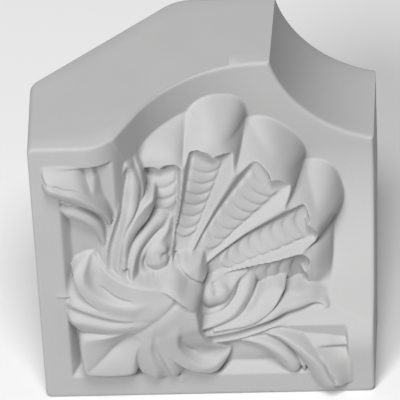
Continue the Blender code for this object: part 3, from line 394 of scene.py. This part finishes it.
def long_leaf(face):
    """Leaf from the knot to the top of the frame, and the strips beside it.

    Each station goes from the frame to the shell, on three lines: valley, strip, hollow and thin ridge;
    groove, rim, channel and back of the leaf; its outer edge, hollow and rim beside the shell."""
    face.sheet([
        [(24.4, 138.2, 4.4), (28, 138.2, 3.4), (32.6, 138.2, 13.6), (33.6, 138, 13.4),
         (34.6, 138, 14.6), (37.2, 137.8, 15.6), (39.6, 137.6, 17), (41.4, 137.4, 18.2),
         (43, 137.4, 19.4), (44.6, 137.4, 21), (46.6, 137.4, 22)],
        [(24.6, 133.4, 4), (28.4, 132.8, 2.8), (33.4, 132.4, 13), (34.3, 132.3, 12.5),
         (35.3, 132.2, 13.8), (38.4, 132.2, 14.4), (40.8, 132, 15.2), (42.2, 132, 16),
         (43.2, 131.8, 17.6), (44, 131.8, 19.6), (45, 131.8, 19.8)],
        [(24.9, 130.8, 3.4), (28.8, 130.2, 2.2), (33.9, 130, 12.4), (34.7, 130, 11.8),
         (35.7, 129.8, 13.2), (41.8, 130, 12), (42.6, 129.8, 11.8), (43.3, 129.4, 12.2),
         (44.1, 128.8, 13.4), (45.1, 129.2, 18), (45.9, 129.2, 18.4)],
        [(25.6, 127, 2.4), (28.8, 126.4, 1.6), (34.4, 126.4, 11.4), (35.2, 126.4, 10.6),
         (36.1, 126.2, 12), (41, 126.4, 10.8), (42.4, 126, 13), (44, 126.2, 12.6),
         (45.2, 125.8, 13.6), (46.1, 125.8, 17), (47, 125.8, 16.8)],
        [(26.8, 123.4, 1.4), (28.8, 122.8, 1.2), (34.9, 122.8, 10.2), (35.7, 123, 9.4),
         (36.6, 122.9, 10.8), (39.3, 123.3, 9.4), (41.6, 122.4, 13.6), (44.6, 123, 12),
         (46.4, 122.6, 12.8), (47.3, 122.4, 15.4), (48.1, 122.4, 15.2)],
        [(29.4, 117.6, 4), (31, 117.4, 3.6), (35.6, 117, 8.6), (36.5, 117.2, 7.6),
         (37.2, 117, 8.8), (38.3, 117.4, 7.8), (40.2, 117.4, 12), (44.4, 117.2, 9.2),
         (47.4, 117.3, 11.2), (48.2, 117.3, 14), (48.9, 117.2, 13.8)],
        [(31.6, 111.4, 4.6), (33.4, 111.2, 4.2), (36.2, 111, 6.8), (37.2, 111.2, 5.6),
         (37.8, 111, 7.2), (38.5, 111, 6.4), (40.1, 111, 9.8), (44, 111, 7),
         (47, 111.2, 9.2), (47.9, 111, 12.4), (49.1, 111.4, 12.8)],
        [(32.4, 105.8, 5), (33.8, 105.6, 4.6), (35.9, 105.4, 5.6), (37.1, 105.4, 4.3),
         (37.7, 105.2, 5.6), (38.2, 105.2, 6), (39.4, 105, 7.8), (42, 105, 4.2),
         (44.7, 105, 4.8), (45.6, 105, 7.6), (47, 105, 9.6)],
        [(31.6, 98, 4.8), (32.6, 98, 4.4), (33.7, 97.6, 4.2), (34.7, 97.4, 2.9),
         (35.3, 97.2, 4.2), (36, 97, 4.8), (37.4, 97, 5.6), (39.8, 97.3, 2.6),
         (40.8, 97.4, 2.9), (41.8, 97.4, 4), (43.4, 97.4, 6.4)],
        [(29.4, 89, 4), (30.2, 88.8, 3.6), (31.4, 88.6, 3), (32.3, 88.4, 1.9),
         (32.9, 88.2, 2.8), (33.6, 88, 3.4), (34.9, 88, 3.8), (37.6, 88, 1.2),
         (38.8, 88, 1.6), (40, 88, 2.6), (41.4, 88, 4)],
        [(28.4, 80, 3.2), (29.2, 80, 2.8), (30.4, 79.6, 2), (31.4, 79.2, 1),
         (32, 79, 1.6), (32.8, 79, 2), (34, 79, 2.2), (36.4, 78, 0),
         (37.8, 78, 0.4), (39, 78, 1.2), (40.4, 78, 2.2)],
        [(29.6, 73, 1), (30.4, 73, 0.8), (31.6, 73, 0.4), (32.6, 73, 0),
         (33.2, 73, 0.4), (34, 73, 0.4), (35.2, 73, 0), (37.6, 73, -1.4),
         (39.4, 73, -1), (40.2, 73, -0.2), (41.2, 73, 0.6)]],
        blend=0.4, skirt=5.0)


def double_leaf(face):
    """Leaf that laps over the frame: its flank, its rolled edge and the crease between them."""
    face.sheet([
        [(6.4, 139.4, 0.4), (6.7, 137, -1.8), (7.3, 134.6, -4.2), (8.4, 133, -5.2)],
        [(10.3, 139.6, 0.4), (10.6, 137, -1.6), (11, 134.2, -4), (11.8, 132.2, -5.2)],
        [(15.4, 139.6, 0.4), (15.3, 136.6, -1.2), (15.2, 132.8, -3.8), (15.2, 130.4, -5)],
        [(20.2, 139.2, 0.6), (20.2, 135.4, -0.6), (20.3, 131.4, -2.8), (20.5, 128.4, -4.5)],
        [(22.8, 138.2, 2), (22.9, 133.6, 0.8), (23.2, 130, -1.4), (23.8, 126.2, -3.8)],
        [(24.6, 138.2, 4.4), (24.8, 133, 3.4), (25.3, 128.6, 1.2), (26.4, 123.6, -1.6)],
        [(25.8, 138.2, 6.4), (26.1, 132, 5.4), (26.8, 127.6, 3.6), (28.4, 121.4, 1)]], blend=2.2, skirt=4.0)
    face.sheet([
        [(8.2, 133, -4.6), (7.3, 131.8, -5), (6.5, 129.6, -4), (6.2, 127.6, -2.4)],
        [(10.2, 132.2, -5.4), (9.9, 130.9, -6.4), (9, 128, -5.2), (8.2, 124.6, -2.2)],
        [(15.1, 130, -5.6), (14.9, 128.9, -6.5), (14.4, 125.6, -5.2), (13.6, 121.4, -1.8)],
        [(20.5, 127.9, -5.2), (20.1, 126.6, -6.2), (19.2, 123.2, -4.8), (18.4, 119.4, -1.6)],
        [(24, 125.3, -4.8), (23.5, 123.9, -5.6), (22.4, 120.6, -4), (21.6, 117.4, -1.2)],
        [(27.4, 121.9, -3.6), (26.9, 120.6, -4.5), (25.6, 117.6, -3), (24.8, 115.4, -0.6)],
        [(30.4, 118.4, -2), (29.9, 117, -3), (28.8, 114.2, -1.8), (27.9, 112.6, 0.2)],
        [(32.8, 114.4, -0.2), (32.3, 113, -1.2), (31.4, 110.6, 0), (30.4, 109.4, 1.4)],
        [(34.4, 109.4, 1.6), (34, 108.4, 0.9), (33.3, 107, 1.6), (32.3, 106, 2.8)],
        [(35, 104, 3.2), (34.4, 103, 2.8), (33.8, 102.4, 3.2), (33, 102, 4)]], blend=0.5, skirt=5.0)
    face.groove([(8.6, 132.8, 0.4), (12, 131.5, 0.45), (15.1, 129.9, 0.5), (20.5, 128, 0.5), (24, 125.4, 0.5),
                 (27.4, 122, 0.5), (30.2, 118.8, 0.5), (32.6, 114.8, 0.5), (34.2, 110.4, 0.4)], 1.3)


def second_leaf(face):
    """Broad leaf under the double one, with a sliver between them."""
    face.blade([(22.5, 115.6, 1.4, 0.6, 0.6), (19.5, 117.2, 0, 1.0, 1.0), (16.6, 118, -0.6, 1.1, 1.1),
                (13.8, 118.2, 0, 0.6, 0.6)], 0.8, 0.8, blend=0.5)
    face.sheet([
        [(13.4, 115.4, 0.2), (13, 114.6, 0.2), (13, 113.8, 0.6)],
        [(15.4, 116, -0.6), (14.8, 113.8, -1.4), (14.3, 111.6, -0.2)],
        [(18, 115.9, -1), (17.5, 113, -2), (17.1, 109.2, -0.2)],
        [(20.8, 115, -1.2), (20.4, 111.6, -2), (20.1, 106.9, 0.2)],
        [(24.1, 112.6, -1), (23.6, 109, -1.7), (22.7, 104.8, 0.8)],
        [(27.4, 109.2, -0.4), (26.7, 105.6, -0.9), (25.2, 101.8, 1.4)],
        [(30, 104.7, 0.8), (29.1, 101.4, 0.4), (27.4, 98.2, 2.2)],
        [(31.4, 99.6, 2), (30.6, 96.6, 1.6), (29, 93.6, 3)],
        [(32, 93, 3), (31.2, 90.4, 2.8), (30, 88.4, 4)]], blend=0.6, skirt=5.0)


def volute(face):
    """Rolled volute beside the knot, with a leaf and a band that run round it."""
    # leaf
    face.sheet([
        [(53.2, 109.6, 10.4), (53.4, 109, 10.8), (53.8, 108.4, 11.4)],
        [(50.2, 107.8, 8.4), (51.6, 106, 9.8), (53.2, 104.8, 12)],
        [(47.6, 105.8, 6.4), (49.6, 103.2, 8), (51.8, 101.6, 10.4)],
        [(45.3, 103.2, 4.6), (47.6, 100.6, 6), (50, 99.2, 8.4)],
        [(43.3, 99.8, 3), (45.2, 98, 4), (47.4, 97.2, 6.2)],
        [(41.4, 96, 1.9), (43.2, 95.2, 2.8), (45.4, 94.8, 5)],
        [(40.2, 91, 1), (41.4, 90.6, 1.6), (42.8, 90.4, 3.4)],
        [(39.6, 85, 0.4), (40.4, 84.8, 0.8), (41.4, 84.6, 2.2)],
        [(39, 78, -0.6), (39.8, 78, -0.4), (40.8, 78, 0.8)]], blend=0.4, skirt=3.0)
    # band
    face.sheet([
        [(59.6, 95.6, 17.8), (59.4, 94, 16.8), (59.6, 92, 16.8)],
        [(57, 96.8, 16.2), (57.4, 94.4, 14.4), (57.4, 91.2, 14.6)],
        [(54.2, 96.6, 14.4), (54.8, 94, 12.4), (54.6, 90.2, 12.2)],
        [(50.8, 95.4, 11.8), (51.9, 92.6, 9.6), (52, 88.9, 9.8)],
        [(47.6, 93.2, 9), (49.3, 90.6, 7), (50, 87.2, 8)],
        [(45, 91, 6.4), (47.2, 88.4, 4.8), (48.2, 85.4, 6.4)],
        [(43.2, 88.2, 4.4), (45.4, 85.4, 2.8), (46.8, 83.2, 5.2)],
        [(42.2, 84.6, 2.8), (44.2, 82, 1.2), (45.8, 80.8, 4)],
        [(41.6, 80.6, 1.2), (43.3, 78, -0.4), (44.9, 77.4, 2.6)],
        [(41.4, 76, -0.4), (42.8, 74, -1.8), (44.4, 74, 0.6)],
        [(42, 71, -3), (43.4, 70, -3.6), (45, 70.4, -2)]], blend=0.4, skirt=3.0)
    # wedge above the volute, the rim that turns round it, its ball and the turn cut into the ball
    face.sheet([
        [(59.4, 93.6, 17.4), (60.4, 93.4, 16.4), (62, 93.6, 19.6)],
        [(57.6, 90.4, 14.4), (59, 89.4, 13), (62, 88.4, 18)],
        [(54.9, 88.8, 12), (57, 86.8, 10.2), (61.6, 85, 16.6)],
        [(51.8, 87, 9.8), (55.4, 84.6, 7.8), (61.4, 82.4, 14.4)],
        [(49.6, 84.6, 7.8), (54, 82.2, 6.2), (61, 80, 12.4)],
        [(48.4, 81.6, 7), (53.2, 79.6, 5.6), (60, 78.4, 10.8)],
        [(48.6, 77.8, 7), (53.2, 76.6, 5.8), (59, 76, 10)]], blend=2.6, skirt=2.5)
    face.blade([(57.2, 89.2, 13.4, 1, 1), (53.6, 87.2, 9.8, 1.5, 1.5), (50.4, 84.9, 7.4, 1.6, 1.6),
                (47.9, 81.8, 5.6, 1.6, 1.6), (46.4, 78.2, 4.6, 1.6, 1.6), (46.6, 74.4, 3.8, 1.7, 1.7),
                (48.9, 71.2, 3, 1.8, 1.8), (52.2, 70, 3, 1.6, 1.6)], 1.6, 1.6, blend=0.6)
    face.blade([(54.4, 81.6, 6, 4.4, 4.4), (53.8, 79.4, 5, 5, 5), (53.4, 76.6, 4.4, 5.4, 5.4),
                (53.6, 75.4, 4.6, 5.2, 5.2)], 2.4, 2.4, power=2.2, blend=0.8)
    face.groove([(55.8, 78.8, 1.1), (57, 79.5, 1.3), (58.2, 79, 1.3), (59, 77.6, 1.1)], 1.3)


def corner_lobes(face):
    """Five lobes that spread from the knot to the corner of the frame."""
    # leaf on the diagonal, one half
    face.sheet([
        [(51, 51, -5.6), (49.5, 52, -5.8), (48.6, 52.4, -5.8), (48, 52.6, -5.4)],
        [(44.5, 44.5, -5.2), (44, 46, -5.6), (43, 47.3, -6), (42.4, 48, -5.4)],
        [(38, 38, -2.6), (36.4, 40.4, -4), (34, 43, -6), (32.6, 43.4, -5)],
        [(33, 33, -2.2), (30.4, 36, -4.2), (26, 41, -6.2), (25, 42.6, -4.8)],
        [(28.5, 28.5, -3.8), (26, 32, -5.2), (20.6, 39.2, -6.2), (18.6, 41.6, -4.6)],
        [(24.5, 24.5, -5), (22.6, 27.8, -5.8), (18.9, 34, -6.2), (17.5, 35.5, -5)],
        [(21.5, 21.5, -5.6), (20.4, 23.4, -6), (18.6, 26.4, -6.2), (17.8, 27.4, -5.2)],
        [(19, 19, -5.6), (18.9, 19.6, -5.6), (18.5, 20.4, -5.6), (18.2, 21, -5.2)]])
    # side lobe
    face.sheet([
        [(54, 57, -5.6), (52, 54.5, -6), (50, 52.8, -6), (49, 51, -6.2), (48, 49, -5.8)],
        [(42, 56.5, -6), (41.8, 53.6, -7.2), (41.4, 51.6, -6.8), (41, 49.6, -7.4), (40, 46, -6.6)],
        [(34, 58.5, -4.6), (34, 54.2, -6.8), (33.6, 51.4, -5.6), (33.2, 48.4, -7), (32.4, 43.4, -5.4)],
        [(27.5, 61.6, -3.4), (27.2, 56.4, -6.4), (26.6, 53, -4.8), (26.4, 49.4, -6.6), (25.6, 43.2, -4.4)],
        [(21, 63.8, -1.6), (20.6, 58.4, -5.4), (20.4, 54.9, -3.6), (20, 50.6, -5.8), (19, 44, -3.4)],
        [(16.4, 63.6, 0), (15.8, 59.6, -3.6), (16.2, 55.4, -2.4), (15.2, 51, -4.6), (14, 47.6, -2)],
        [(13.6, 61.4, 0.4), (12.9, 59.2, -1), (13.4, 55.6, -1.4), (12.8, 52.6, -2), (12.5, 51, -1)]])
    # great lobe, from its rim over the hollow and the turned edge to its outline, and the crease in it
    face.sheet([
        [(63, 67, -4.4), (61.5, 64.5, -5.4), (59, 60.5, -6), (55, 54, -5.8)],
        [(56, 70, -5.8), (54.4, 65.4, -6.8), (52, 61, -7.2), (50, 54, -6.8)],
        [(48, 71.3, -6.3), (46, 64.3, -7), (45, 61, -8), (44, 54.2, -7.2)],
        [(42, 71.8, -4.8), (40.5, 63.6, -5.8), (39, 60.8, -7.3), (37, 55, -6.6)],
        [(36.4, 73.8, -3.2), (35, 64.2, -4), (33, 62.2, -6.4), (30.5, 56.8, -6)],
        [(32, 76.6, -1.2), (29.8, 67.4, -1.8), (27.5, 65.6, -5.5), (25.3, 60.4, -5.6)],
        [(29, 80.2, 1.2), (25.6, 72, -0.8), (23.4, 70, -5), (20.8, 65.4, -5.2)],
        [(27, 83.2, 3.2), (23.8, 77, -0.4), (20.8, 75.4, -4.4), (17.9, 71.6, -4.6)],
        [(26.2, 84.4, 4), (24.2, 80.8, 1.2), (21.4, 79.6, -2.2), (16.9, 77.2, -3.4)],
        [(26.3, 85.2, 4.4), (24.7, 83, 2.6), (22.4, 82.2, 0), (18.4, 81, -1)],
        [(26.4, 86, 5), (25.6, 85.2, 4.2), (24.4, 85, 3), (22.4, 84.6, 2.4)]], skirt=4.0)
    face.groove([(27.6, 69.8, 0.4), (30.7, 66.9, 0.6), (33.4, 64.9, 0.7), (36.2, 63.8, 0.7),
                 (39.4, 63.4, 0.6), (43, 63.7, 0.4)], 0.9)
    # where the lobes meet
    face.blade([(42, 46, -5.6, 5, 5), (46, 50, -7.2, 7, 7), (50, 54.5, -7.9, 8, 8), (54, 58.5, -7.8, 8, 8),
                (58, 61.5, -7, 7, 7), (61.5, 64, -5.6, 5, 5)], 4.0, 4.0, blend=2.4, rim=0.02)


def knot(face):
    """A collar across the diagonal, with a boss above it and a crease between them."""
    # collar
    face.sheet([
        [(50.6, 69.8, -2), (51.4, 70.8, 0), (52.2, 71.8, 3.6)],
        [(54, 69.8, -5), (55.2, 71.4, -2.4), (56.2, 72.8, 3.2)],
        [(57.4, 69, -6.8), (59, 71, -3.8), (60.4, 73, 2.6)],
        [(60.7, 67.1, -7.9), (62.2, 69.2, -4.8), (63.6, 71.4, 2)],
        [(64, 64, -8.4), (65.4, 65.4, -5.8), (67.2, 67.2, 2)],
        [(67.1, 60.7, -7.9), (69.2, 62.2, -4.8), (71.4, 63.6, 2)]], blend=0.5, skirt=4.0)
    # boss
    face.sheet([
        [(62.2, 72.6, 4.2), (65, 70.4, 2.9), (67, 67, 2.8), (70.4, 65, 2.9)],
        [(64.4, 74.2, 5.8), (67, 71.6, 3.8), (68.8, 68.8, 3.4), (71.6, 67, 3.8)],
        [(65.8, 75.2, 7.6), (68.6, 72.6, 5), (70.6, 70.6, 4.6), (72.6, 68.6, 5)],
        [(67.6, 75.4, 10.4), (70, 73.6, 7.4), (72.2, 72.2, 7), (73.6, 70, 7.4)],
        [(69.4, 75.4, 12), (71.6, 74.2, 10.4), (73.4, 73.4, 10), (74.2, 71.6, 10.4)]], blend=2.4, skirt=4.0)
    face.groove([(61.4, 76.4, 0.8), (62.4, 74.4, 0.9), (64.2, 72.2, 1), (66.6, 69.6, 1), (68, 67.6, 1),
                 (69.6, 66.6, 1), (72.2, 64.2, 0.9)], 1.5)


def carved_depth(u, v):
    """Depth of the front over plan points."""
    face = Carving(u, v)
    for form in (panel, shell, body, long_leaf, double_leaf, second_leaf, volute, corner_lobes, knot):
        form(face)
    return np.maximum(face.depth, FRONT_LIMIT)


def evened_depth(u, v):
    """Mean carved depth round each point, so that steep edges don't break up on the mesh."""
    steps = np.array((-EVENED_OVER, 0, EVENED_OVER)) * POINT_SPACING
    return np.mean([carved_depth(u + a, v + b) for a in steps for b in steps], 0)


def place(u, depth, v):
    """Plan point and depth in the block's own frame, in metres."""
    return Vector(((u - ORIGIN_PLAN) * UNIT, (depth - BLOCK_DEPTH) * UNIT, (v - ORIGIN_PLAN) * UNIT))


def run(start, stop, count):
    """Points from one corner towards the next, without the last."""
    return np.linspace(start, stop, count, endpoint=False)


def corner_arc(centre_u, centre_v, start):
    """Quarter arc of an outer corner."""
    angle = np.radians(start + 90.0 * np.arange(CORNER_STEPS) / CORNER_STEPS)
    across = CORNER_ROUNDING * np.cos(angle)
    up = CORNER_ROUNDING * np.sin(angle)
    return np.stack([centre_u + across, centre_v + up], 1)


def notch_at(depth):
    """Plan place of the end faces, where the notch meets them, and the centre and radius of its arc."""
    far = BLOCK_WIDTH + END_FLARE * depth
    reach = NOTCH_REACH + NOTCH_FLARE * (depth - FACE_DROP)
    centre = far + NOTCH_OFFSET
    return far, reach, centre, np.hypot(centre - reach, NOTCH_OFFSET)


def outline_at(depth):
    """Plan outline at one depth, counter-clockwise, with the same number of points at every depth."""
    far, reach, centre, radius = notch_at(depth)
    begin = math.atan2(reach - centre, far - centre) % (2 * math.pi)
    end = math.atan2(far - centre, reach - centre) % (2 * math.pi)
    angle = np.linspace(begin, end, NOTCH_STEPS)
    notch = np.stack([centre + radius * np.cos(angle), centre + radius * np.sin(angle)], 1)
    near = CORNER_ROUNDING
    return np.vstack([
        corner_arc(near, near, 180),
        run((near, 0), (far - near, 0), WALL_STEPS),
        corner_arc(far - near, near, 270),
        run((far, near), (far, reach), END_STEPS),
        notch,
        run((reach, far), (near, far), END_STEPS)[1:],
        corner_arc(near, far - near, 90),
        run((0, far - near), (0, near), WALL_STEPS),
    ])


def edge_distance(u, v, depth):
    """Plan distance of points inside the block from its outline at their depth."""
    far, _, centre, radius = notch_at(depth)
    middle = far / 2
    over_u = np.abs(u - middle) - middle + CORNER_ROUNDING
    over_v = np.abs(v - middle) - middle + CORNER_ROUNDING
    outside = np.hypot(np.maximum(over_u, 0), np.maximum(over_v, 0))
    box = CORNER_ROUNDING - outside - np.minimum(np.maximum(over_u, over_v), 0)
    notch = np.hypot(u - centre, v - centre) - radius
    return np.maximum(np.minimum(box, notch), 0)


def rounded_edge(distance, radius):
    """How far a rounded edge falls away at a plan distance from the edge."""
    into = np.clip(radius - distance, 0, radius)
    return radius - np.sqrt(radius ** 2 - into ** 2)


def rear_depth(s):
    """Depth of the sprung back, its rounding and the ceiling face."""
    rise = BLOCK_DEPTH - WALL_CONTACT
    slope = rise / CEILING_START
    turn = math.atan(slope)
    tangent = SPRING_ROUNDING * math.tan(turn / 2)
    begin = CEILING_START - tangent * math.cos(turn)
    finish = CEILING_START + tangent
    arc = BLOCK_DEPTH - SPRING_ROUNDING + np.sqrt(np.maximum(SPRING_ROUNDING ** 2 - (finish - s) ** 2, 0))
    return np.where(s < begin, WALL_CONTACT + s * slope, np.where(s < finish, arc, BLOCK_DEPTH))


def inward(loop):
    """Unit plan normals of a counter-clockwise loop, towards its inside."""
    ahead = np.roll(loop, -1, 0) - np.roll(loop, 1, 0)
    ahead /= np.hypot(*ahead.T)[:, None]
    return np.stack([-ahead[:, 1], ahead[:, 0]], 1)


def near_carving(u, v, steps):
    """Which points of a square lattice lie on the carving or within four steps of it."""
    carved = np.abs(carved_depth(u, v) - cyma(np.minimum(u, v))) > 0.03
    carved = carved.reshape(steps, steps)
    for _ in range(4):
        wider = carved.copy()
        wider[1:] |= carved[:-1]
        wider[:-1] |= carved[1:]
        wider[:, 1:] |= carved[:, :-1]
        wider[:, :-1] |= carved[:, 1:]
        carved = wider
    return carved.ravel()


def coarse_lattice(steps):
    """Every third point of a square lattice, both ways."""
    third = np.arange(steps) % 3 == 0
    return (third[:, None] & third[None, :]).ravel()


def mitre_edges(field, first):
    """Pairs of neighbouring points along the diagonal of a field whose first point has the given number."""
    on_mitre = np.nonzero(np.abs(field[:, 0] - field[:, 1]) < 1e-6)[0]
    along = (first + on_mitre).tolist()
    return list(zip(along[:-1], along[1:]))


def covered_outline(loop, field, edge_radius, mitred):
    """Triangles that fill a plan outline: its loop, rings inside it and a field of points."""
    normal = inward(loop)
    rings = [loop + normal * share * edge_radius for share in RING_STEPS]
    points = np.vstack(rings + [field])
    edges = mitre_edges(field, len(loop) * len(RING_STEPS)) if mitred else []
    border = [list(range(len(loop)))]
    result = geometry.delaunay_2d_cdt([Vector(p) for p in points.tolist()], edges, border, 1, 1e-6)
    plan = np.array([tuple(p) for p in result[0]])
    origin = np.array([items[0] if items else -1 for items in result[3]])
    return plan, np.array(result[2]), origin


def lattice(spacing, inset, depth):
    """Square lattice over the block, and which of its points lie well inside the outline at a depth."""
    steps = int(math.ceil((BLOCK_WIDTH + 6) / spacing))
    line = np.arange(steps) * spacing
    u, v = [axis.ravel() for axis in np.meshgrid(line, line)]
    return u, v, steps, edge_distance(u, v, np.full(u.shape, depth)) > inset


def end_skin(loop, edge, field, depth_over, edge_radius, rear):
    """Points and triangles of the front or the rear, and the numbers of the points on its loop."""
    plan, faces, origin = covered_outline(loop, field, edge_radius, rear)
    depth = depth_over(plan[:, 0], plan[:, 1])
    fall = rounded_edge(edge_distance(plan[:, 0], plan[:, 1], depth), edge_radius)
    depth = depth - fall if rear else depth + fall
    on_loop = (origin >= 0) & (origin < len(loop))
    depth[on_loop] = edge[origin[on_loop]]
    loop_at = np.zeros(len(loop), int)
    loop_at[origin[on_loop]] = np.nonzero(on_loop)[0]
    return np.stack([plan[:, 0], depth, plan[:, 1]], 1), faces, loop_at


def front_skin(loop, edge):
    """The carved face: fine where it is carved, coarser where it is plain."""
    u, v, steps, keep = lattice(POINT_SPACING, 2.4, 0.0)
    keep = keep & (near_carving(u, v, steps) | coarse_lattice(steps))
    field = np.stack([u[keep], v[keep]], 1)
    return end_skin(loop, edge, field, evened_depth, FRONT_EDGE, False)


def rear_skin(loop, edge):
    """The sprung back and the ceiling face, with a mitre on the diagonal."""
    u, v, _, keep = lattice(REAR_SPACING, 3.6, BLOCK_DEPTH)
    field = np.stack([u[keep], v[keep]], 1)

    def depth_over(at_u, at_v):
        return rear_depth(np.maximum(np.minimum(at_u, at_v), 0))

    return end_skin(loop, edge, field, depth_over, REAR_EDGE, True)


def casting_mesh():
    """The whole block as one closed skin: carved face, side walls and rear."""
    shallow, deep = outline_at(0.0), outline_at(BLOCK_DEPTH)
    flare = (deep - shallow) / BLOCK_DEPTH
    front_edge = cyma(np.minimum(shallow[:, 0], shallow[:, 1])) + FRONT_EDGE
    rear_edge = rear_depth(np.maximum(np.minimum(deep[:, 0], deep[:, 1]), 0)) - REAR_EDGE
    front, front_faces, front_at = front_skin(shallow + flare * front_edge[:, None], front_edge)
    rear, rear_faces, rear_at = rear_skin(shallow + flare * rear_edge[:, None], rear_edge)

    verts = [front]
    rows = [front_at]
    total = len(front)
    for level in range(1, SIDE_ROWS):
        at = front_edge + (rear_edge - front_edge) * level / SIDE_ROWS
        ring = shallow + flare * at[:, None]
        verts.append(np.stack([ring[:, 0], at, ring[:, 1]], 1))
        rows.append(total + np.arange(len(ring)))
        total += len(ring)
    verts.append(rear)
    rows.append(total + rear_at)

    faces = [front_faces]
    for row, next_row in zip(rows[:-1], rows[1:]):
        beside, next_beside = np.roll(row, -1), np.roll(next_row, -1)
        faces.append(np.stack([row, next_row, next_beside], 1))
        faces.append(np.stack([row, next_beside, beside], 1))
    faces.append(rear_faces[:, ::-1] + total)

    points = (np.vstack(verts) - np.array([ORIGIN_PLAN, BLOCK_DEPTH, ORIGIN_PLAN])) * UNIT
    mesh = bpy.data.meshes.new("carved_casting")
    mesh.from_pydata(points.tolist(), [], np.vstack(faces).tolist())
    mesh.validate()
    mesh.shade_smooth()
    mesh.set_sharp_from_angle(angle=math.radians(62))
    return mesh


class Value:
    """A shader socket that can be used in a Python expression."""

    def __init__(self, tree, socket):
        self.tree = tree
        self.socket = socket

    def node(self, kind, settings=None, **inputs):
        """Add a node, set it up, connect its inputs by name (or i0, i1 and so on by number) and return it."""
        item = self.tree.nodes.new(kind)
        for name, value in (settings or {}).items():
            setattr(item, name, value)
        for name, value in inputs.items():
            numbered = name[0] == "i" and name[1:].isdigit()
            socket = item.inputs[int(name[1:]) if numbered else name.replace("_", " ")]
            if isinstance(value, Value):
                self.tree.links.new(value.socket, socket)
            else:
                socket.default_value = value
        return item

    def math(self, operation, other):
        """A Math node on this value and another value or number."""
        item = self.node("ShaderNodeMath", {"operation": operation}, i0=self, i1=other)
        return Value(self.tree, item.outputs[0])

    def __add__(self, other):
        return self.math("ADD", other)

    def __mul__(self, other):
        return self.math("MULTIPLY", other)

    __radd__ = __add__
    __rmul__ = __mul__


def noise(where, scale, detail):
    """Value of a noise texture over the object."""
    item = where.node("ShaderNodeTexNoise", None, Vector=where, Scale=scale, Detail=detail)
    return Value(where.tree, item.outputs[0])


def primed_finish():
    """Matt off-white priming over a foam casting: faint mottling, fine stipple."""
    material = bpy.data.materials.new("primed casting")
    material.use_nodes = True
    tree = material.node_tree
    shader = tree.nodes["Principled BSDF"]
    where = Value(tree, tree.nodes.new("ShaderNodeTexCoord").outputs["Object"])
    cloud = noise(where, 38.0, 3.0)
    grain = noise(where, 950.0, 4.0)
    tone = where.node("ShaderNodeMix", {"data_type": "RGBA"}, Factor=cloud * 0.7 + grain * 0.3,
                      i6=PRIMING_DARK, i7=PRIMING_LIGHT)
    tree.links.new(tone.outputs[2], shader.inputs["Base Color"])
    rough = 0.62 + cloud * 0.16
    tree.links.new(rough.socket, shader.inputs["Roughness"])
    shader.inputs["Specular IOR Level"].default_value = 0.35
    bump = where.node("ShaderNodeBump", None, Strength=0.12, Distance=0.0004, Height=grain + cloud * 0.4)
    tree.links.new(bump.outputs[0], shader.inputs["Normal"])
    return material


def floor_finish():
    """Pale matt studio floor."""
    material = bpy.data.materials.new("studio floor")
    material.use_nodes = True
    shader = material.node_tree.nodes["Principled BSDF"]
    shader.inputs["Base Color"].default_value = (FLOOR_GREY, FLOOR_GREY, FLOOR_GREY, 1)
    shader.inputs["Roughness"].default_value = 0.9
    shader.inputs["Specular IOR Level"].default_value = 0.0
    return material


def area_light(name, location, width, power):
    """Round lamp that is aimed at the block, with its place and width in metres and its power in watts."""
    lamp = bpy.data.lights.new(name, "AREA")
    lamp.shape = "DISK"
    lamp.size = width
    lamp.energy = power
    item = bpy.data.objects.new(name, lamp)
    item.location = location
    aim = (Vector(LAMPS_AIM) - Vector(location)).normalized()
    item.rotation_mode = "QUATERNION"
    item.rotation_quaternion = aim.to_track_quat("-Z", "Y")
    bpy.context.scene.collection.objects.link(item)


def studio_floor():
    """Square floor that the block stands on."""
    ground = -ORIGIN_PLAN * UNIT
    corners = [(-1, -1), (1, -1), (1, 1), (-1, 1)]
    mesh = bpy.data.meshes.new("studio_floor")
    mesh.from_pydata([(FLOOR_REACH * x, FLOOR_REACH * y, ground) for x, y in corners], [], [(0, 1, 2, 3)])
    mesh.materials.append(floor_finish())
    floor = bpy.data.objects.new("studio_floor", mesh)
    bpy.context.scene.collection.objects.link(floor)


def photograph_camera():
    """Camera with the place, turn and lens of the photograph's."""
    yaw, pitch, roll = math.radians(CAMERA_YAW), math.radians(CAMERA_PITCH), math.radians(CAMERA_ROLL)
    forward = Vector((math.sin(yaw) * math.cos(pitch), math.cos(yaw) * math.cos(pitch), -math.sin(pitch)))
    level = Vector((math.cos(yaw), -math.sin(yaw), 0))
    upright = level.cross(forward)
    right = math.cos(roll) * level + math.sin(roll) * upright
    up = -math.sin(roll) * level + math.cos(roll) * upright
    turn = Matrix((right, up, -forward)).transposed()
    lens = bpy.data.cameras.new("camera")
    lens.sensor_width = CAMERA_SENSOR
    lens.lens = CAMERA_LENS
    lens.clip_start = 0.1
    lens.clip_end = 50
    camera = bpy.data.objects.new("camera", lens)
    camera.matrix_world = Matrix.Translation(place(*CAMERA_PLACE)) @ turn.to_4x4()
    bpy.context.scene.collection.objects.link(camera)
    bpy.context.scene.camera = camera


def studio():
    """Floor, light and the camera of the photograph."""
    studio_floor()
    for name, location, width, power in LAMPS:
        area_light(name, location, width, power)

    scene = bpy.context.scene
    world = scene.world or bpy.data.worlds.new("studio")
    scene.world = world
    world.use_nodes = True
    sky = world.node_tree.nodes["Background"]
    sky.inputs[0].default_value = (1, 1, 1, 1)
    sky.inputs[1].default_value = SKY_STRENGTH

    photograph_camera()
    scene.view_settings.view_transform = "Standard"


casting = bpy.data.objects.new("carved_casting", casting_mesh())
bpy.context.scene.collection.objects.link(casting)
casting.data.materials.append(primed_finish())
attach(casting, "root")
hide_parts("corner_block")

studio()

bpy.context.view_layer.update()
